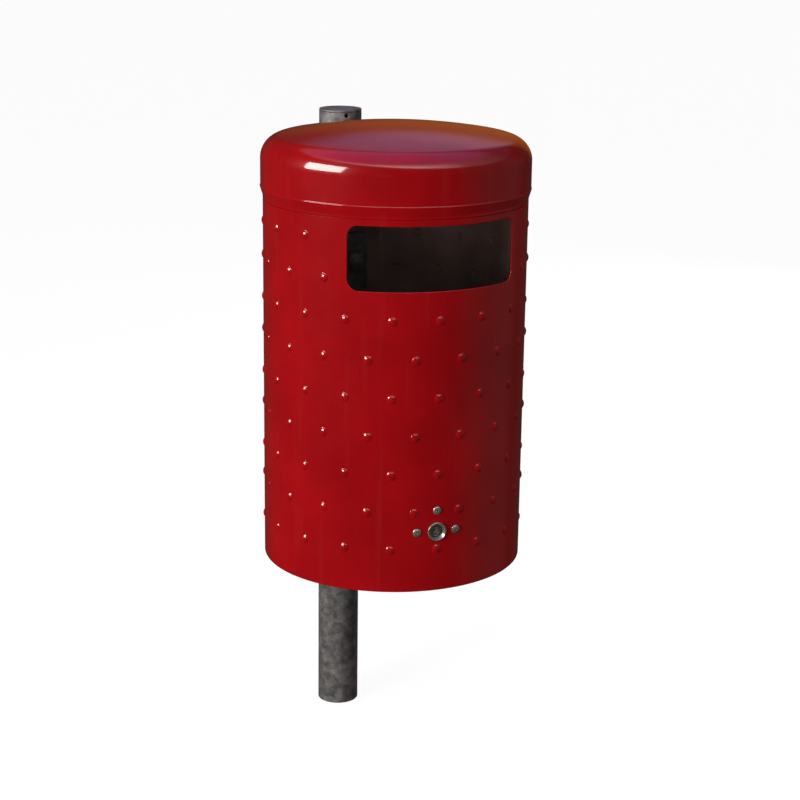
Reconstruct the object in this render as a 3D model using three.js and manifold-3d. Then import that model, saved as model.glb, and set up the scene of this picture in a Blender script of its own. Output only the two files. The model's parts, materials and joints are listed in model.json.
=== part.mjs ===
// Round dog waste bin clamped to a tube post. The bin is an embossed steel shell with a cap lid, an
// open posting aperture and a hinged bottom flap that a triangular-key cam lock holds shut.
// Millimetres, +Z up. The origin is the centre of the post's lower end, the post stands on Z, and the
// bin hangs in front of it, towards -Y. At rest the flap is closed and the cam is turned clear of it.
import * as THREE from "three";
import { mergeVertices } from "three/addons/utils/BufferGeometryUtils.js";
import Module from "manifold-3d";

const wasm = await Module();
wasm.setup();

// ---------- driving dimensions ----------
const GAP = 0.3; // clearance between pieces that touch

const post = { radius: 25, wall: 2.6, top: 747.2, capTop: 750 };
const crossHole = { radius: 2.8, below: 6, angle: 0 }; // below the cap's top, degrees from -Y to +X

const bin = { axisY: -200, base: 272 };
const shell = { radius: 145, sheet: 1.5, shoulder: 404, swage: 2, step: 0.9, top: 440 };
const aperture = { low: 329.5, high: 397.5, halfAngle: 39.4, cornerUp: 12, cornerAcross: 9.5 };
const nub = { rows: 9, perRow: 18, firstRow: 47.4, pitch: 41.8, radius: 4.6, height: 1.7, sunk: 0.35 };
const nubMargin = 7;
const lid = { radius: 148.1, sheet: 1.5, top: 484.5, crown: 12, fillet: 25, skirtEnd: 417.6, edge: 405 };
const lidRivet = { angles: [125, 160, -160, -125], height: 430, grip: 7.2 };

const flap = { radius: 142.3, sheet: 1.5, corner: 2, floor: 2, rim: 20, hingeY: 142, hingeZ: -5, pin: 2 };
const drain = { radius: 4, out: 60, angles: [45, 135, 225, 315] };
const knuckle = { radius: 4.2, bore: 2.12, length: 18, pinEnds: 1.5 };
const leaf = { sheet: 2, half: 31, top: 40, rivets: 31, rivetAcross: 20 };
const flapLeaf = { half: 28, front: 108, rivets: 122 };
const strike = { near: 12, far: 32, lip: 76, back: 115, front: 124.5, sheet: 3, foot: 22 };
const strikeRivet = { fromBack: 12, fromSide: 5 };

// The lock's depths are measured outwards from the shell's outer face.
const lock = { height: 67.2, head: 10.4, flange: 2.4, barrel: 8, barrelEnd: -19, bore: 5.6, boreEnd: -9 };
const spindle = { face: 5.3, out: 1.6, stem: 4, end: -21.6, corner: 4.4, squareEnd: -26.6 };
const socket = { corner: 4.6, deep: 5 };
const lockNut = { corner: 13, low: -12.6, height: 6 };
const cam = { half: 8, reach: 30, corner: 5, low: -25.2, sheet: 3, hole: 4.75 };
const lockPlate = { sheet: 2, halfAngle: 13.5, below: 18, above: 34 };
const lockRivet = { across: 22, above: 23.6 };
const rivet = { head: 4.7, body: 2.4, rise: 1.75, hole: 2.7 };

const bracket = { heights: [310, 131], tall: 40, sheet: 4, mouth: 34, ears: 50, boltAcross: 40 };
const backing = { sheet: 3, halfAngle: 6, beyond: 30 };
const bolt8 = { shank: 4, across: 13, head: 5.3, nut: 6.5, hole: 4.5, clampLength: 32, wallLength: 23 };

const paint = { color: 0x9b0911, roughness: 0.32, metalness: 0.0 };
const zinc = { color: 0x8f918f, roughness: 0.45, metalness: 0.85 };
const galvanised = { color: 0x6c6e70, roughness: 0.6, metalness: 0.7 };
const bareSheet = { color: 0x55504c, roughness: 0.7, metalness: 0.6 };

const degrees = Math.PI / 180;

// ---------- closed bodies ----------
// One closed shell of shared vertices, without needle triangles, facing outwards.
function weld(source) {
  const bare = source.clone();
  bare.deleteAttribute("normal");
  bare.deleteAttribute("uv");
  const merged = mergeVertices(bare, 1e-4);
  const index = Array.from(merged.index.array);
  const kept = [];
  for (let i = 0; i < index.length; i += 3) {
    const [a, b, c] = index.slice(i, i + 3);
    if (a !== b && b !== c && c !== a) kept.push(a, b, c);
  }
  const p = merged.attributes.position;
  let volume = 0;
  for (let i = 0; i < kept.length; i += 3) {
    const [a, b, c] = [0, 1, 2].map((k) => new THREE.Vector3().fromBufferAttribute(p, kept[i + k]));
    volume += a.dot(b.cross(c));
  }
  if (volume < 0) kept.reverse();
  merged.setIndex(kept);
  return merged;
}

function solid(geometry) {
  const welded = weld(geometry);
  return new wasm.Manifold(new wasm.Mesh({
    numProp: 3,
    vertProperties: new Float32Array(welded.attributes.position.array),
    triVerts: new Uint32Array(welded.index.array),
  }));
}

function joined(first, ...rest) {
  return rest.reduce((sum, next) => sum.add(next), first);
}

function cut(first, ...rest) {
  return rest.reduce((left, next) => left.subtract(next), first);
}

function geometryOf(body) {
  const mesh = body.getMesh();
  const geometry = new THREE.BufferGeometry();
  geometry.setAttribute("position", new THREE.BufferAttribute(mesh.vertProperties, 3));
  geometry.setIndex(new THREE.BufferAttribute(mesh.triVerts, 1));
  geometry.computeVertexNormals();
  return geometry;
}

function piece(name, body, finish) {
  const mesh = new THREE.Mesh(geometryOf(body), new THREE.MeshStandardMaterial(finish));
  mesh.name = name;
  return mesh;
}

// ---------- shapes ----------
// A profile of [radius, height] turned round Z.
function turned(profile, segments = 24, start = 0, sweep = 2 * Math.PI) {
  const points = profile.map(([r, z]) => new THREE.Vector2(r, z));
  return solid(new THREE.LatheGeometry(points, segments, start, sweep).rotateX(Math.PI / 2));
}

function ring(inner, outer, low, high, segments = 24) {
  return turned([[inner, low], [outer, low], [outer, high], [inner, high], [inner, low]], segments);
}

function disc(radius, low, high, segments = 24) {
  return turned([[0, low], [radius, low], [radius, high], [0, high]], segments);
}

function block(low, high) {
  const size = high.map((v, i) => v - low[i]);
  const middle = high.map((v, i) => (v + low[i]) / 2);
  return solid(new THREE.BoxGeometry(...size).translate(...middle));
}

// An outline in the XY plane pulled up from low to high.
function pulledUp(points, low, high) {
  const shape = new THREE.Shape(points.map(([x, y]) => new THREE.Vector2(x, y)));
  const settings = { depth: high - low, bevelEnabled: false, curveSegments: 6 };
  return solid(new THREE.ExtrudeGeometry(shape, settings).translate(0, 0, low));
}

function rod(radius, from, to, segments = 16) {
  const a = new THREE.Vector3(...from);
  const b = new THREE.Vector3(...to);
  const length = a.distanceTo(b);
  const turn = new THREE.Quaternion().setFromUnitVectors(
    new THREE.Vector3(0, 1, 0), b.clone().sub(a).divideScalar(length));
  const geometry = new THREE.CylinderGeometry(radius, radius, length, segments)
    .applyQuaternion(turn)
    .translate(...a.add(b).multiplyScalar(0.5).toArray());
  return solid(geometry);
}

// A wall of the given thickness that follows the shell's round, centred on the -Y or +Y side.
function curvedPlate(inner, outer, halfAngle, low, high, side, segments = 8) {
  const centre = side < 0 ? -90 : 90;
  const outline = [];
  for (let i = 0; i <= segments; i += 1) {
    const a = (centre - halfAngle + (2 * halfAngle * i) / segments) * degrees;
    outline.push([outer * Math.cos(a), outer * Math.sin(a)]);
  }
  for (let i = segments; i >= 0; i -= 1) {
    const a = (centre - halfAngle + (2 * halfAngle * i) / segments) * degrees;
    outline.push([inner * Math.cos(a), inner * Math.sin(a)]);
  }
  return pulledUp(outline, low, high);
}

// A rivet with a domed head outside, pointing out along +Z from z = 0, and its closed end below.
function blindRivet(grip) {
  const { head, body, rise } = rivet;
  const profile = [[0, -grip - 5], [body, -grip - 4.4], [body + 0.6, -grip - 3], [body, -grip - GAP],
    [body, GAP], [head, GAP], [head * 0.8, 1.2], [0, rise]];
  return turned(profile, 10);
}

function rivetHole(from, to) {
  return rod(rivet.hole, from, to, 12);
}

// A hexagon bolt pointing down -Z: head on top of z = 0, shank below.
function hexBolt(length) {
  const corner = bolt8.across / Math.sqrt(3);
  const chamfered = [[0, GAP], [corner, GAP], [corner, bolt8.head - 0.7], [corner * 0.86, bolt8.head],
    [0, bolt8.head]];
  return joined(turned(chamfered, 6), disc(bolt8.shank, -length, GAP + 1, 12));
}

function hexNut(low, corner = bolt8.across / Math.sqrt(3), bore = bolt8.shank + GAP, height = bolt8.nut) {
  const profile = [[bore, low], [corner * 0.9, low], [corner, low + 0.8], [corner, low + height - 0.8],
    [corner * 0.9, low + height], [bore, low + height], [bore, low]];
  return cut(turned([[0, low], ...profile.slice(1, 5), [0, low + height]], 6),
    disc(bore, low - 1, low + height + 1, 12));
}

// Puts a body built along +Z on the shell, pointing out at the angle from -Y towards +X.
function outward(body, angle, height, radius = shell.radius) {
  const a = (angle - 90) * degrees;
  return body.rotate([90, 0, angle]).translate([radius * Math.cos(a), radius * Math.sin(a), height]);
}

function atLock(body) {
  return outward(body, 0, lock.height);
}

// ---------- post ----------
function crossDrill() {
  const height = post.capTop - crossHole.below;
  const reach = post.radius + 5;
  const a = (crossHole.angle - 90) * degrees;
  const end = [reach * Math.cos(a), reach * Math.sin(a), height];
  return rod(crossHole.radius, [0, 0, height], end, 10);
}

function postTube() {
  return cut(ring(post.radius - post.wall, post.radius, 0, post.top, 28), crossDrill());
}

function postCap() {
  const spigot = post.radius - post.wall - GAP;
  const low = post.top + GAP;
  const body = turned([[0, low + 0.4], [spigot - 2, low + 0.4], [spigot - 2, low - 12], [spigot, low - 12],
    [spigot, low], [post.radius, low], [post.radius, post.capTop - 0.9], [post.radius - 0.9, post.capTop],
    [0, post.capTop]], 28);
  return cut(body, crossDrill());
}

// ---------- shell and lid ----------
function apertureCutter() {
  const half = shell.radius * Math.sin(aperture.halfAngle * degrees);
  const { low, high, cornerAcross: cx, cornerUp: cz } = aperture;
  const shape = new THREE.Shape();
  shape.moveTo(-half + cx, low);
  shape.lineTo(half - cx, low);
  shape.absellipse(half - cx, low + cz, cx, cz, -Math.PI / 2, 0);
  shape.lineTo(half, high - cz);
  shape.absellipse(half - cx, high - cz, cx, cz, 0, Math.PI / 2);
  shape.lineTo(-half + cx, high);
  shape.absellipse(-half + cx, high - cz, cx, cz, Math.PI / 2, Math.PI);
  shape.lineTo(-half, low + cz);
  shape.absellipse(-half + cx, low + cz, cx, cz, Math.PI, 1.5 * Math.PI);
  const deep = shell.radius + 20;
  const geometry = new THREE.ExtrudeGeometry(shape, { depth: deep, bevelEnabled: false, curveSegments: 4 });
  return solid(geometry.rotateX(Math.PI / 2));
}

function nubDome() {
  return turned([[0, -1], [nub.radius, -0.4], [0, nub.height]], 6);
}

function nearAperture(angle, height) {
  const across = nubMargin / shell.radius / degrees;
  return Math.abs(angle) < aperture.halfAngle + across
    && height > aperture.low - nubMargin && height < aperture.high + nubMargin;
}

function nearLock(angle, height) {
  return Math.abs(angle) < 1 && Math.abs(height - lock.height) < lock.head + nub.radius;
}

// The sheet is left flat behind each hat bracket.
function nearBracket(angle, height) {
  const across = (180 - Math.abs(angle)) * degrees * shell.radius;
  const reach = bracket.mouth / 2 + bracket.sheet + nub.radius;
  const tall = bracket.tall / 2 + nub.radius;
  return across < reach && bracket.heights.some((z) => Math.abs(height - z) < tall);
}

function nubPlaces() {
  const places = [];
  for (let row = 0; row < nub.rows; row += 1) {
    const height = nub.firstRow + row * nub.pitch;
    for (let i = 0; i < nub.perRow; i += 1) {
      const step = 360 / nub.perRow;
      const angle = ((i + (row % 2) / 2) * step + 180) % 360 - 180;
      const flat = nearAperture(angle, height) || nearLock(angle, height) || nearBracket(angle, height);
      if (!flat) places.push([angle, height]);
    }
  }
  return places;
}

// Name, angle and height of each rivet round the lock.
function lockRivetPlaces() {
  const yaw = lockRivet.across / shell.radius / degrees;
  return [["left", -yaw, lock.height], ["right", yaw, lock.height],
    ["top", 0, lock.height + lockRivet.above]];
}

function lockHoles() {
  const drill = disc(rivet.hole, -8, 8, 12);
  const barrel = atLock(disc(lock.barrel + GAP, -30, 10, 16));
  return [barrel, ...lockRivetPlaces().map(([, angle, height]) => outward(drill, angle, height))];
}

function rearBoltHoles() {
  const { radius } = shell;
  return bracket.heights.map((z) => rod(bolt8.hole, [0, radius - 25, z], [0, radius + 15, z], 16));
}

const leafRivetPlaces = [["left", -leaf.rivetAcross], ["right", leaf.rivetAcross]];

function hingeRivetHoles() {
  const { radius } = shell;
  const z = leaf.rivets;
  return leafRivetPlaces.map(([, x]) => rivetHole([x, radius - 25, z], [x, radius + 15, z]));
}

function lidRivetHoles() {
  const drill = disc(rivet.hole, -14, 8, 12);
  return lidRivet.angles.map((angle) => outward(drill, angle, lidRivet.height, lid.radius));
}

function shellBody() {
  const { radius: r, sheet: t, shoulder, swage, step, top } = shell;
  const neck = r - swage;
  const wall = turned([[r - t, 0], [r, 0], [r, shoulder], [neck, shoulder + step], [neck, top],
    [neck - t, top], [neck - t, shoulder + step - t], [r - t, shoulder - t], [r - t, 0]], 60);
  const domes = nubPlaces().map(([angle, height]) => outward(nubDome(), angle, height, r - nub.sunk));
  return cut(joined(wall, ...domes), apertureCutter(), ...lockHoles(), ...rearBoltHoles(),
    ...hingeRivetHoles(), ...lidRivetHoles());
}

// The crown is an arc about the axis that runs smoothly into the fillet; its slope where they meet
// follows from the crown's height.
function lidOutline(offset, crownSteps = 3, filletSteps = 5) {
  const { radius, fillet, crown, top, skirtEnd, edge } = lid;
  let slope = 0.1;
  for (let i = 0; i < 40; i += 1) {
    const reach = radius - fillet * (1 - Math.sin(slope));
    slope *= crown / (reach * Math.tan(slope / 2));
  }
  const reach = radius - fillet * (1 - Math.sin(slope));
  const round = reach / Math.sin(slope);
  const points = [];
  for (let i = 0; i <= crownSteps; i += 1) {
    const a = (slope * i) / crownSteps;
    const r = round - offset;
    points.push([r * Math.sin(a), top - round + r * Math.cos(a)]);
  }
  const centre = { r: radius - fillet, z: top - crown - fillet * Math.cos(slope) };
  for (let i = 1; i <= filletSteps; i += 1) {
    const a = slope + ((Math.PI / 2 - slope) * i) / filletSteps;
    const r = fillet - offset;
    points.push([centre.r + r * Math.sin(a), centre.z + r * Math.cos(a)]);
  }
  points.push([radius - offset, skirtEnd + offset * 0.1]);
  points.push([shell.radius - offset, edge + GAP]);
  return points;
}

function lidBody() {
  const outline = [...lidOutline(0), ...lidOutline(lid.sheet).reverse()];
  return cut(turned(outline, 60), ...lidRivetHoles());
}

// ---------- bottom flap, hinge and strike ----------
const strikeRivetPlaces = [
  ["near", strike.near + strikeRivet.fromSide],
  ["far", strike.far - strikeRivet.fromSide],
];

function flapRivetHoles() {
  return leafRivetPlaces.map(([, x]) => rivetHole([x, flapLeaf.rivets, -8], [x, flapLeaf.rivets, 10]));
}

function strikeRivetHoles() {
  const y = strikeRivet.fromBack - strike.back;
  return strikeRivetPlaces.map(([, x]) => rivetHole([x, y, -5], [x, y, 12]));
}

function drains() {
  return drain.angles.map((angle) => {
    const x = drain.out * Math.cos(angle * degrees);
    const y = drain.out * Math.sin(angle * degrees);
    return rod(drain.radius, [x, y, -5], [x, y, 10], 12);
  });
}

function flapPan() {
  const { radius: r, sheet: t, corner, floor, rim } = flap;
  const pan = turned([[0, floor], [r - corner, floor], [r, floor + corner], [r, floor + rim],
    [r - t, floor + rim], [r - t, floor + corner + t / 2], [r - corner - t / 2, floor + t],
    [0, floor + t]], 48);
  return cut(pan, ...flapRivetHoles(), ...strikeRivetHoles(), ...drains());
}

function alongHinge(radius, from, to) {
  const { hingeY: y, hingeZ: z } = flap;
  return rod(radius, [from, y, z], [to, y, z], 16);
}

// Two outer knuckles on a leaf that stands against the outside of the shell's rear wall.
function fixedLeafBody() {
  const { half, sheet, top } = leaf;
  const inner = knuckle.length / 2 + GAP;
  const back = shell.radius + GAP;
  const plate = block([-half, back, flap.hingeZ + 1.2], [half, back + sheet, top]);
  const slot = block([-inner, back - 5, flap.hingeZ - 8], [inner, back + 9, 1.2]);
  const knuckles = [alongHinge(knuckle.radius, -half, -inner), alongHinge(knuckle.radius, inner, half)];
  const bore = alongHinge(knuckle.bore, -half - 1, half + 1);
  return cut(joined(plate, ...knuckles), slot, bore, ...hingeRivetHoles());
}

// A plate under the pan whose narrow neck drops to the middle knuckle.
function flapLeafBody() {
  const half = knuckle.length / 2 - GAP;
  const high = flap.floor - GAP;
  const low = high - leaf.sheet;
  const { hingeY: y, hingeZ: z } = flap;
  const plate = block([-flapLeaf.half, flapLeaf.front, low], [flapLeaf.half, y - knuckle.radius - 1, high]);
  const neck = block([-half, y - knuckle.radius - 2, low], [half, y - 0.6, high]);
  const drop = block([-half, y - 3.6, z + 1.8], [half, y - 0.6, high]);
  const barrel = alongHinge(knuckle.radius, -half, half);
  const bore = alongHinge(knuckle.bore, -half - 1, half + 1);
  return cut(joined(plate, neck, drop, barrel), bore, ...flapRivetHoles());
}

function strikeBody() {
  const { near, far, lip, back, front, sheet } = strike;
  const foot = flap.floor + flap.sheet + GAP;
  const upright = block([near, -back - sheet, foot], [far, -back, lip + sheet]);
  const hook = block([near, -front, lip], [far, -back, lip + sheet]);
  const base = block([near, -back - sheet, foot], [far, -back + strike.foot, foot + sheet]);
  return cut(joined(upright, hook, base), ...strikeRivetHoles());
}

// ---------- lock ----------
function prism(sides, radius, low, high) {
  return turned([[0, low], [radius, low], [radius, high], [0, high]], sides);
}

// The barrel, its outer flange and the clear bore that the spindle turns in.
function lockHousingBody() {
  const { head, flange: out, barrel, barrelEnd, bore, boreEnd } = lock;
  const flange = turned([[0, GAP], [head, GAP], [head, out - 0.8], [head - 1, out], [0, out]], 32);
  const neck = disc(spindle.stem + 0.05, barrelEnd - 6, 0, 24);
  return atLock(cut(joined(flange, disc(barrel, barrelEnd, 1, 24)), disc(bore, boreEnd, 5, 24), neck));
}

function lockSpindleBody() {
  const { face, out, stem, end, corner, squareEnd } = spindle;
  const body = joined(disc(face, lock.boreEnd + GAP, out, 24), disc(stem, end, lock.boreEnd + 1, 24),
    prism(4, corner, squareEnd, end + 0.6));
  const tapped = disc(2, squareEnd - 3, squareEnd + 11.6, 12);
  return atLock(cut(body, prism(3, socket.corner, -socket.deep, 3), tapped));
}

function lockPlateBody() {
  const { sheet, halfAngle, below, above } = lockPlate;
  const outer = shell.radius - shell.sheet - GAP;
  const plate = curvedPlate(outer - sheet, outer, halfAngle, lock.height - below, lock.height + above, -1);
  return cut(plate, ...lockHoles());
}

function camBody() {
  const { half, reach, corner, low, sheet, hole } = cam;
  const arm = [[-half, half], [half, half], [half, -reach + corner], [half - corner, -reach],
    [-half + corner, -reach], [-half, -reach + corner]];
  return atLock(cut(pulledUp(arm, low, low + sheet), prism(4, hole, low - 5, low + 15)));
}

function camScrewBody() {
  const seat = spindle.squareEnd - GAP;
  const under = seat - 3.7;
  return atLock(turned([[0, under], [3.4, under], [4.8, under + 1], [4.8, seat], [1.7, seat], [1.7, -18],
    [0, -18]], 12));
}

// ---------- post fixings, in the bin's frame with the post's axis at +Y ----------
const postY = -bin.axisY;

// Where the ears' faces towards the post lie, so that the mouth's edges rest on the tube.
function earLevel() {
  const seat = post.radius + GAP;
  return postY - Math.sqrt(seat * seat - (bracket.mouth / 2) ** 2);
}

function earHoles(height) {
  const y = earLevel();
  return [-bracket.boltAcross, bracket.boltAcross]
    .map((x) => rod(bolt8.hole, [x, y - 20, height], [x, y + 20, height], 16));
}

function hatBracket(height) {
  const { sheet: t, ears: e, tall } = bracket;
  const side = bracket.mouth / 2;
  const near = shell.radius + GAP;
  const ear = earLevel();
  const half = [[side + t, near], [side + t, ear - t], [e, ear - t], [e, ear], [side, ear], [side, near + t]];
  const outline = [...half, ...half.map(([x, y]) => [-x, y]).reverse()];
  const hat = pulledUp(outline, height - tall / 2, height + tall / 2);
  return cut(hat, ...rearBoltHoles(), ...earHoles(height));
}

// Points of the half circle on the +Y side, from +X round to -X.
function halfCircle(radius, steps = 16) {
  return Array.from({ length: steps + 1 }, (_, i) => {
    const a = (Math.PI * i) / steps;
    return [radius * Math.cos(a), radius * Math.sin(a)];
  });
}

function clampStrap(height) {
  const { sheet: t, ears: e, tall } = bracket;
  const inner = post.radius + GAP;
  const outer = inner + t;
  const low = earLevel() + GAP - postY;
  const outline = [...halfCircle(outer), [-outer, low + t], [-e, low + t], [-e, low], [-inner, low],
    ...halfCircle(inner).reverse(), [inner, low], [e, low], [e, low + t], [outer, low + t]];
  const band = pulledUp(outline, height - tall / 2, height + tall / 2).translate([0, postY, 0]);
  return cut(band, ...earHoles(height));
}

// Turns a body built along +Z to face the post, +Y.
function towardsPost(body, x, y, z) {
  return body.rotate([-90, 0, 0]).translate([x, y, z]);
}

function clampBolt(side, height) {
  const seat = earLevel() + GAP + bracket.sheet;
  return towardsPost(hexBolt(bolt8.clampLength), side * bracket.boltAcross, seat, height);
}

function clampNut(side, height) {
  const low = earLevel() - bracket.sheet - GAP - bolt8.nut;
  return towardsPost(hexNut(0), side * bracket.boltAcross, low, height);
}

function backingStrip() {
  const { sheet, halfAngle, beyond } = backing;
  const [upper, lower] = bracket.heights;
  const outer = shell.radius - shell.sheet - GAP;
  const strip = curvedPlate(outer - sheet, outer, halfAngle, lower - beyond, upper + beyond, 1, 4);
  return cut(strip, ...rearBoltHoles());
}

// A round-headed bolt from inside the bin, through the strip, the wall and the bracket.
function wallBolt(height) {
  const seat = shell.radius - shell.sheet - backing.sheet - 3 * GAP;
  const { shank, wallLength: end } = bolt8;
  const profile = [[0, -4.6], [5, -4.2], [8.4, -2.4], [10, 0], [shank, 0], [shank, end], [0, end]];
  return towardsPost(turned(profile, 16), 0, seat, height);
}

function wallNut(height) {
  return towardsPost(hexNut(0), 0, shell.radius + 2 * GAP + bracket.sheet, height);
}

// ---------- assembly ----------
const model = new THREE.Group();

const postGroup = new THREE.Group();
postGroup.add(piece("post_tube", postTube(), galvanised));
postGroup.add(piece("post_cap", postCap(), galvanised));
model.add(postGroup);

const binGroup = new THREE.Group();
binGroup.position.set(0, bin.axisY, bin.base);
model.add(binGroup);

function fit(name, body, finish = zinc) {
  binGroup.add(piece(name, body, finish));
}

fit("shell", shellBody(), paint);
fit("lid", lidBody(), paint);
lidRivet.angles.forEach((angle, i) => {
  fit(`lid_rivet_${i + 1}`, outward(blindRivet(lidRivet.grip), angle, lidRivet.height, lid.radius));
});

fit("backing_strip", backingStrip(), bareSheet);
[["upper", bracket.heights[0]], ["lower", bracket.heights[1]]].forEach(([level, height]) => {
  fit(`${level}_hat_bracket`, hatBracket(height));
  fit(`${level}_clamp_strap`, clampStrap(height));
  fit(`${level}_wall_bolt`, wallBolt(height));
  fit(`${level}_wall_nut`, wallNut(height));
  [["left", -1], ["right", 1]].forEach(([hand, side]) => {
    fit(`${level}_clamp_bolt_${hand}`, clampBolt(side, height));
    fit(`${level}_clamp_nut_${hand}`, clampNut(side, height));
  });
});

fit("flap_pan", flapPan(), paint);
fit("hinge_fixed_leaf", fixedLeafBody());
fit("hinge_flap_leaf", flapLeafBody());
const pinEnd = leaf.half + knuckle.pinEnds;
fit("hinge_pin", alongHinge(flap.pin, -pinEnd, pinEnd));
leafRivetPlaces.forEach(([hand, x]) => {
  const face = shell.radius + leaf.sheet + GAP;
  const under = flap.floor - GAP - leaf.sheet;
  fit(`hinge_rivet_${hand}`, towardsPost(blindRivet(6), x, face, leaf.rivets));
  fit(`flap_rivet_${hand}`, blindRivet(3.8).rotate([180, 0, 0]).translate([x, flapLeaf.rivets, under]));
});

fit("strike", strikeBody());
strikeRivetPlaces.forEach(([which, x]) => {
  const place = [x, strikeRivet.fromBack - strike.back, flap.floor];
  fit(`strike_rivet_${which}`, blindRivet(5.1).rotate([180, 0, 0]).translate(place));
});

fit("lock_housing", lockHousingBody());
fit("lock_spindle", lockSpindleBody());
fit("lock_nut", atLock(hexNut(lockNut.low, lockNut.corner, lock.barrel + GAP, lockNut.height)));
fit("lock_plate", lockPlateBody(), bareSheet);
fit("lock_cam", camBody());
fit("cam_screw", camScrewBody());
lockRivetPlaces().forEach(([where, angle, height]) => {
  fit(`lock_rivet_${where}`, outward(blindRivet(3.8), angle, height));
});

export default model;
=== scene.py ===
"""Looks of the post-mounted dog waste bin: its fine pieces, finishes, studio and camera.

Pieces are made in millimetres. Those of the bin are made in the bin's own frame: its axis on Z, the
shell's lower edge at z 0 and its front towards -Y. make() puts them in the row frame, in metres.
"""
import json
from math import atan2, cos, pi, radians, sin, tan

import bpy
import numpy as np
from mathutils import Matrix, Quaternion, Vector
from mathutils.geometry import delaunay_2d_cdt

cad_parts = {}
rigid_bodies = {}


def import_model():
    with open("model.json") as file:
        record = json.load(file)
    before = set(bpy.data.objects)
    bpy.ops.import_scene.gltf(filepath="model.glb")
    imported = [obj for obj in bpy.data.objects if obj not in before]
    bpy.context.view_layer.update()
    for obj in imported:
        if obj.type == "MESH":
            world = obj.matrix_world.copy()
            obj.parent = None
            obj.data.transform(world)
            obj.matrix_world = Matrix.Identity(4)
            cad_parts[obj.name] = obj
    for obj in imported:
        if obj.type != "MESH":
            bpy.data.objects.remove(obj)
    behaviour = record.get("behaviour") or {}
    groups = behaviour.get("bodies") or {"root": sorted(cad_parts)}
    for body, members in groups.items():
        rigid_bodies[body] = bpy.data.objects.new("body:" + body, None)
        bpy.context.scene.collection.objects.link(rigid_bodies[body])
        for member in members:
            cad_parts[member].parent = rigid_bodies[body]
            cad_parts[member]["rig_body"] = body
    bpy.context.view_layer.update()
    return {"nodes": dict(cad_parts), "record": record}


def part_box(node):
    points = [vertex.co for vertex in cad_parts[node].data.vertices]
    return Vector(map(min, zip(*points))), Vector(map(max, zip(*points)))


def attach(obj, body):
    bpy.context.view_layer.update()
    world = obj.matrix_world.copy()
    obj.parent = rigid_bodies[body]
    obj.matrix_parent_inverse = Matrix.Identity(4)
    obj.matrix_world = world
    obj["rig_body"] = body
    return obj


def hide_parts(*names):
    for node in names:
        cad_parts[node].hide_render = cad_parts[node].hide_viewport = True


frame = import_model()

# ---------- driving dimensions, in millimetres and degrees ----------
MM = 0.001
GAP = 0.3
LID_LOW, LID_HIGH = (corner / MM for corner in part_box("lid"))
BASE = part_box("shell")[0].z / MM
BIN_CENTRE = Vector(((LID_LOW.x + LID_HIGH.x) / 2, (LID_LOW.y + LID_HIGH.y) / 2, BASE))

POST_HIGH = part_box("post_tube")[1] / MM
POST_RADIUS, POST_WALL = POST_HIGH.x, 2.6
POST_Y = -BIN_CENTRE.y
CAP_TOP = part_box("post_cap")[1].z / MM
CAP = {"plate": 0.4, "wall": 2.0, "spigot": 3.2}
FRONT_HOLE = {"radius": 2.8, "below": 6.0}

SHELL_RADIUS, SHELL_SHEET = 145.0, 1.5
SHELL_TOP = (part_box("shell")[1].z / MM) - BASE
SHOULDER, SWAGE, SWAGE_TALL = 404.1, 2.0, 0.7
SEAM = 175.0
SLOT_LOW, SLOT_HIGH, SLOT_HALF_ANGLE, SLOT_CORNER = 329.5, 397.5, 39.4, 12.0
NUB = {"rows": 9, "per_row": 18, "first": 47.4, "pitch": 41.8, "reach": 5.5, "flank": 41.0, "root": 0.9}
NUB_MARGIN = 7.0

LID_RADIUS = (LID_HIGH.x - LID_LOW.x) / 2
LID_TOP = LID_HIGH.z - BASE
LID_SHEET, LID_CROWN, LID_FILLET, LID_EDGE = 1.4, 12.0, 25.0, 404.9
CREASE = {"rise": 0.6, "starts": 418.8, "crest": 417.8, "neck": 416.0, "inside": 416.9}
LID_RIVETS = {"angles": (125, 160, -160, -125), "height": 430.0, "grip": 7.2}

PAN_RADIUS, PAN_SHEET, PAN_FLOOR, PAN_RIM, PAN_CORNER = 142.3, 1.5, 2.0, 20.0, 5.0
BEAD = {"radius": 82.0, "half": 6.0, "rise": 1.8}
DRAIN = {"radius": 4.0, "out": 60.0, "angles": (45, 135, 225, 315)}
HINGE_Y, HINGE_Z, PIN_RADIUS, CURL_RADIUS, CURL_TURN = 142.0, -5.0, 2.0, 3.2, 285.0
LEAF_SHEET, LEAF_HALF, LEAF_TOP, LEAF_CORNER, LEAF_BEND, KNUCKLE_HALF = 2.0, 31.0, 40.0, 5.0, 3.0, 9.0
LEAF_RIVETS = {"height": 31.0, "out": 122.0, "across": 20.0, "wall_grip": 6.0, "pan_grip": 3.8}
FLAP_LEAF = {"starts": 108.0, "half": 28.0, "shoulder": 24.5, "before_pin": 3.0}
STRIKE = {"near": 12.0, "far": 32.0, "lip": 76.0, "back": 115.0, "front": 124.5, "sheet": 3.0, "foot": 22.0}
STRIKE_RIVETS = {"across": (17.0, 27.0), "from_back": 12.0, "grip": 5.1}

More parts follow.
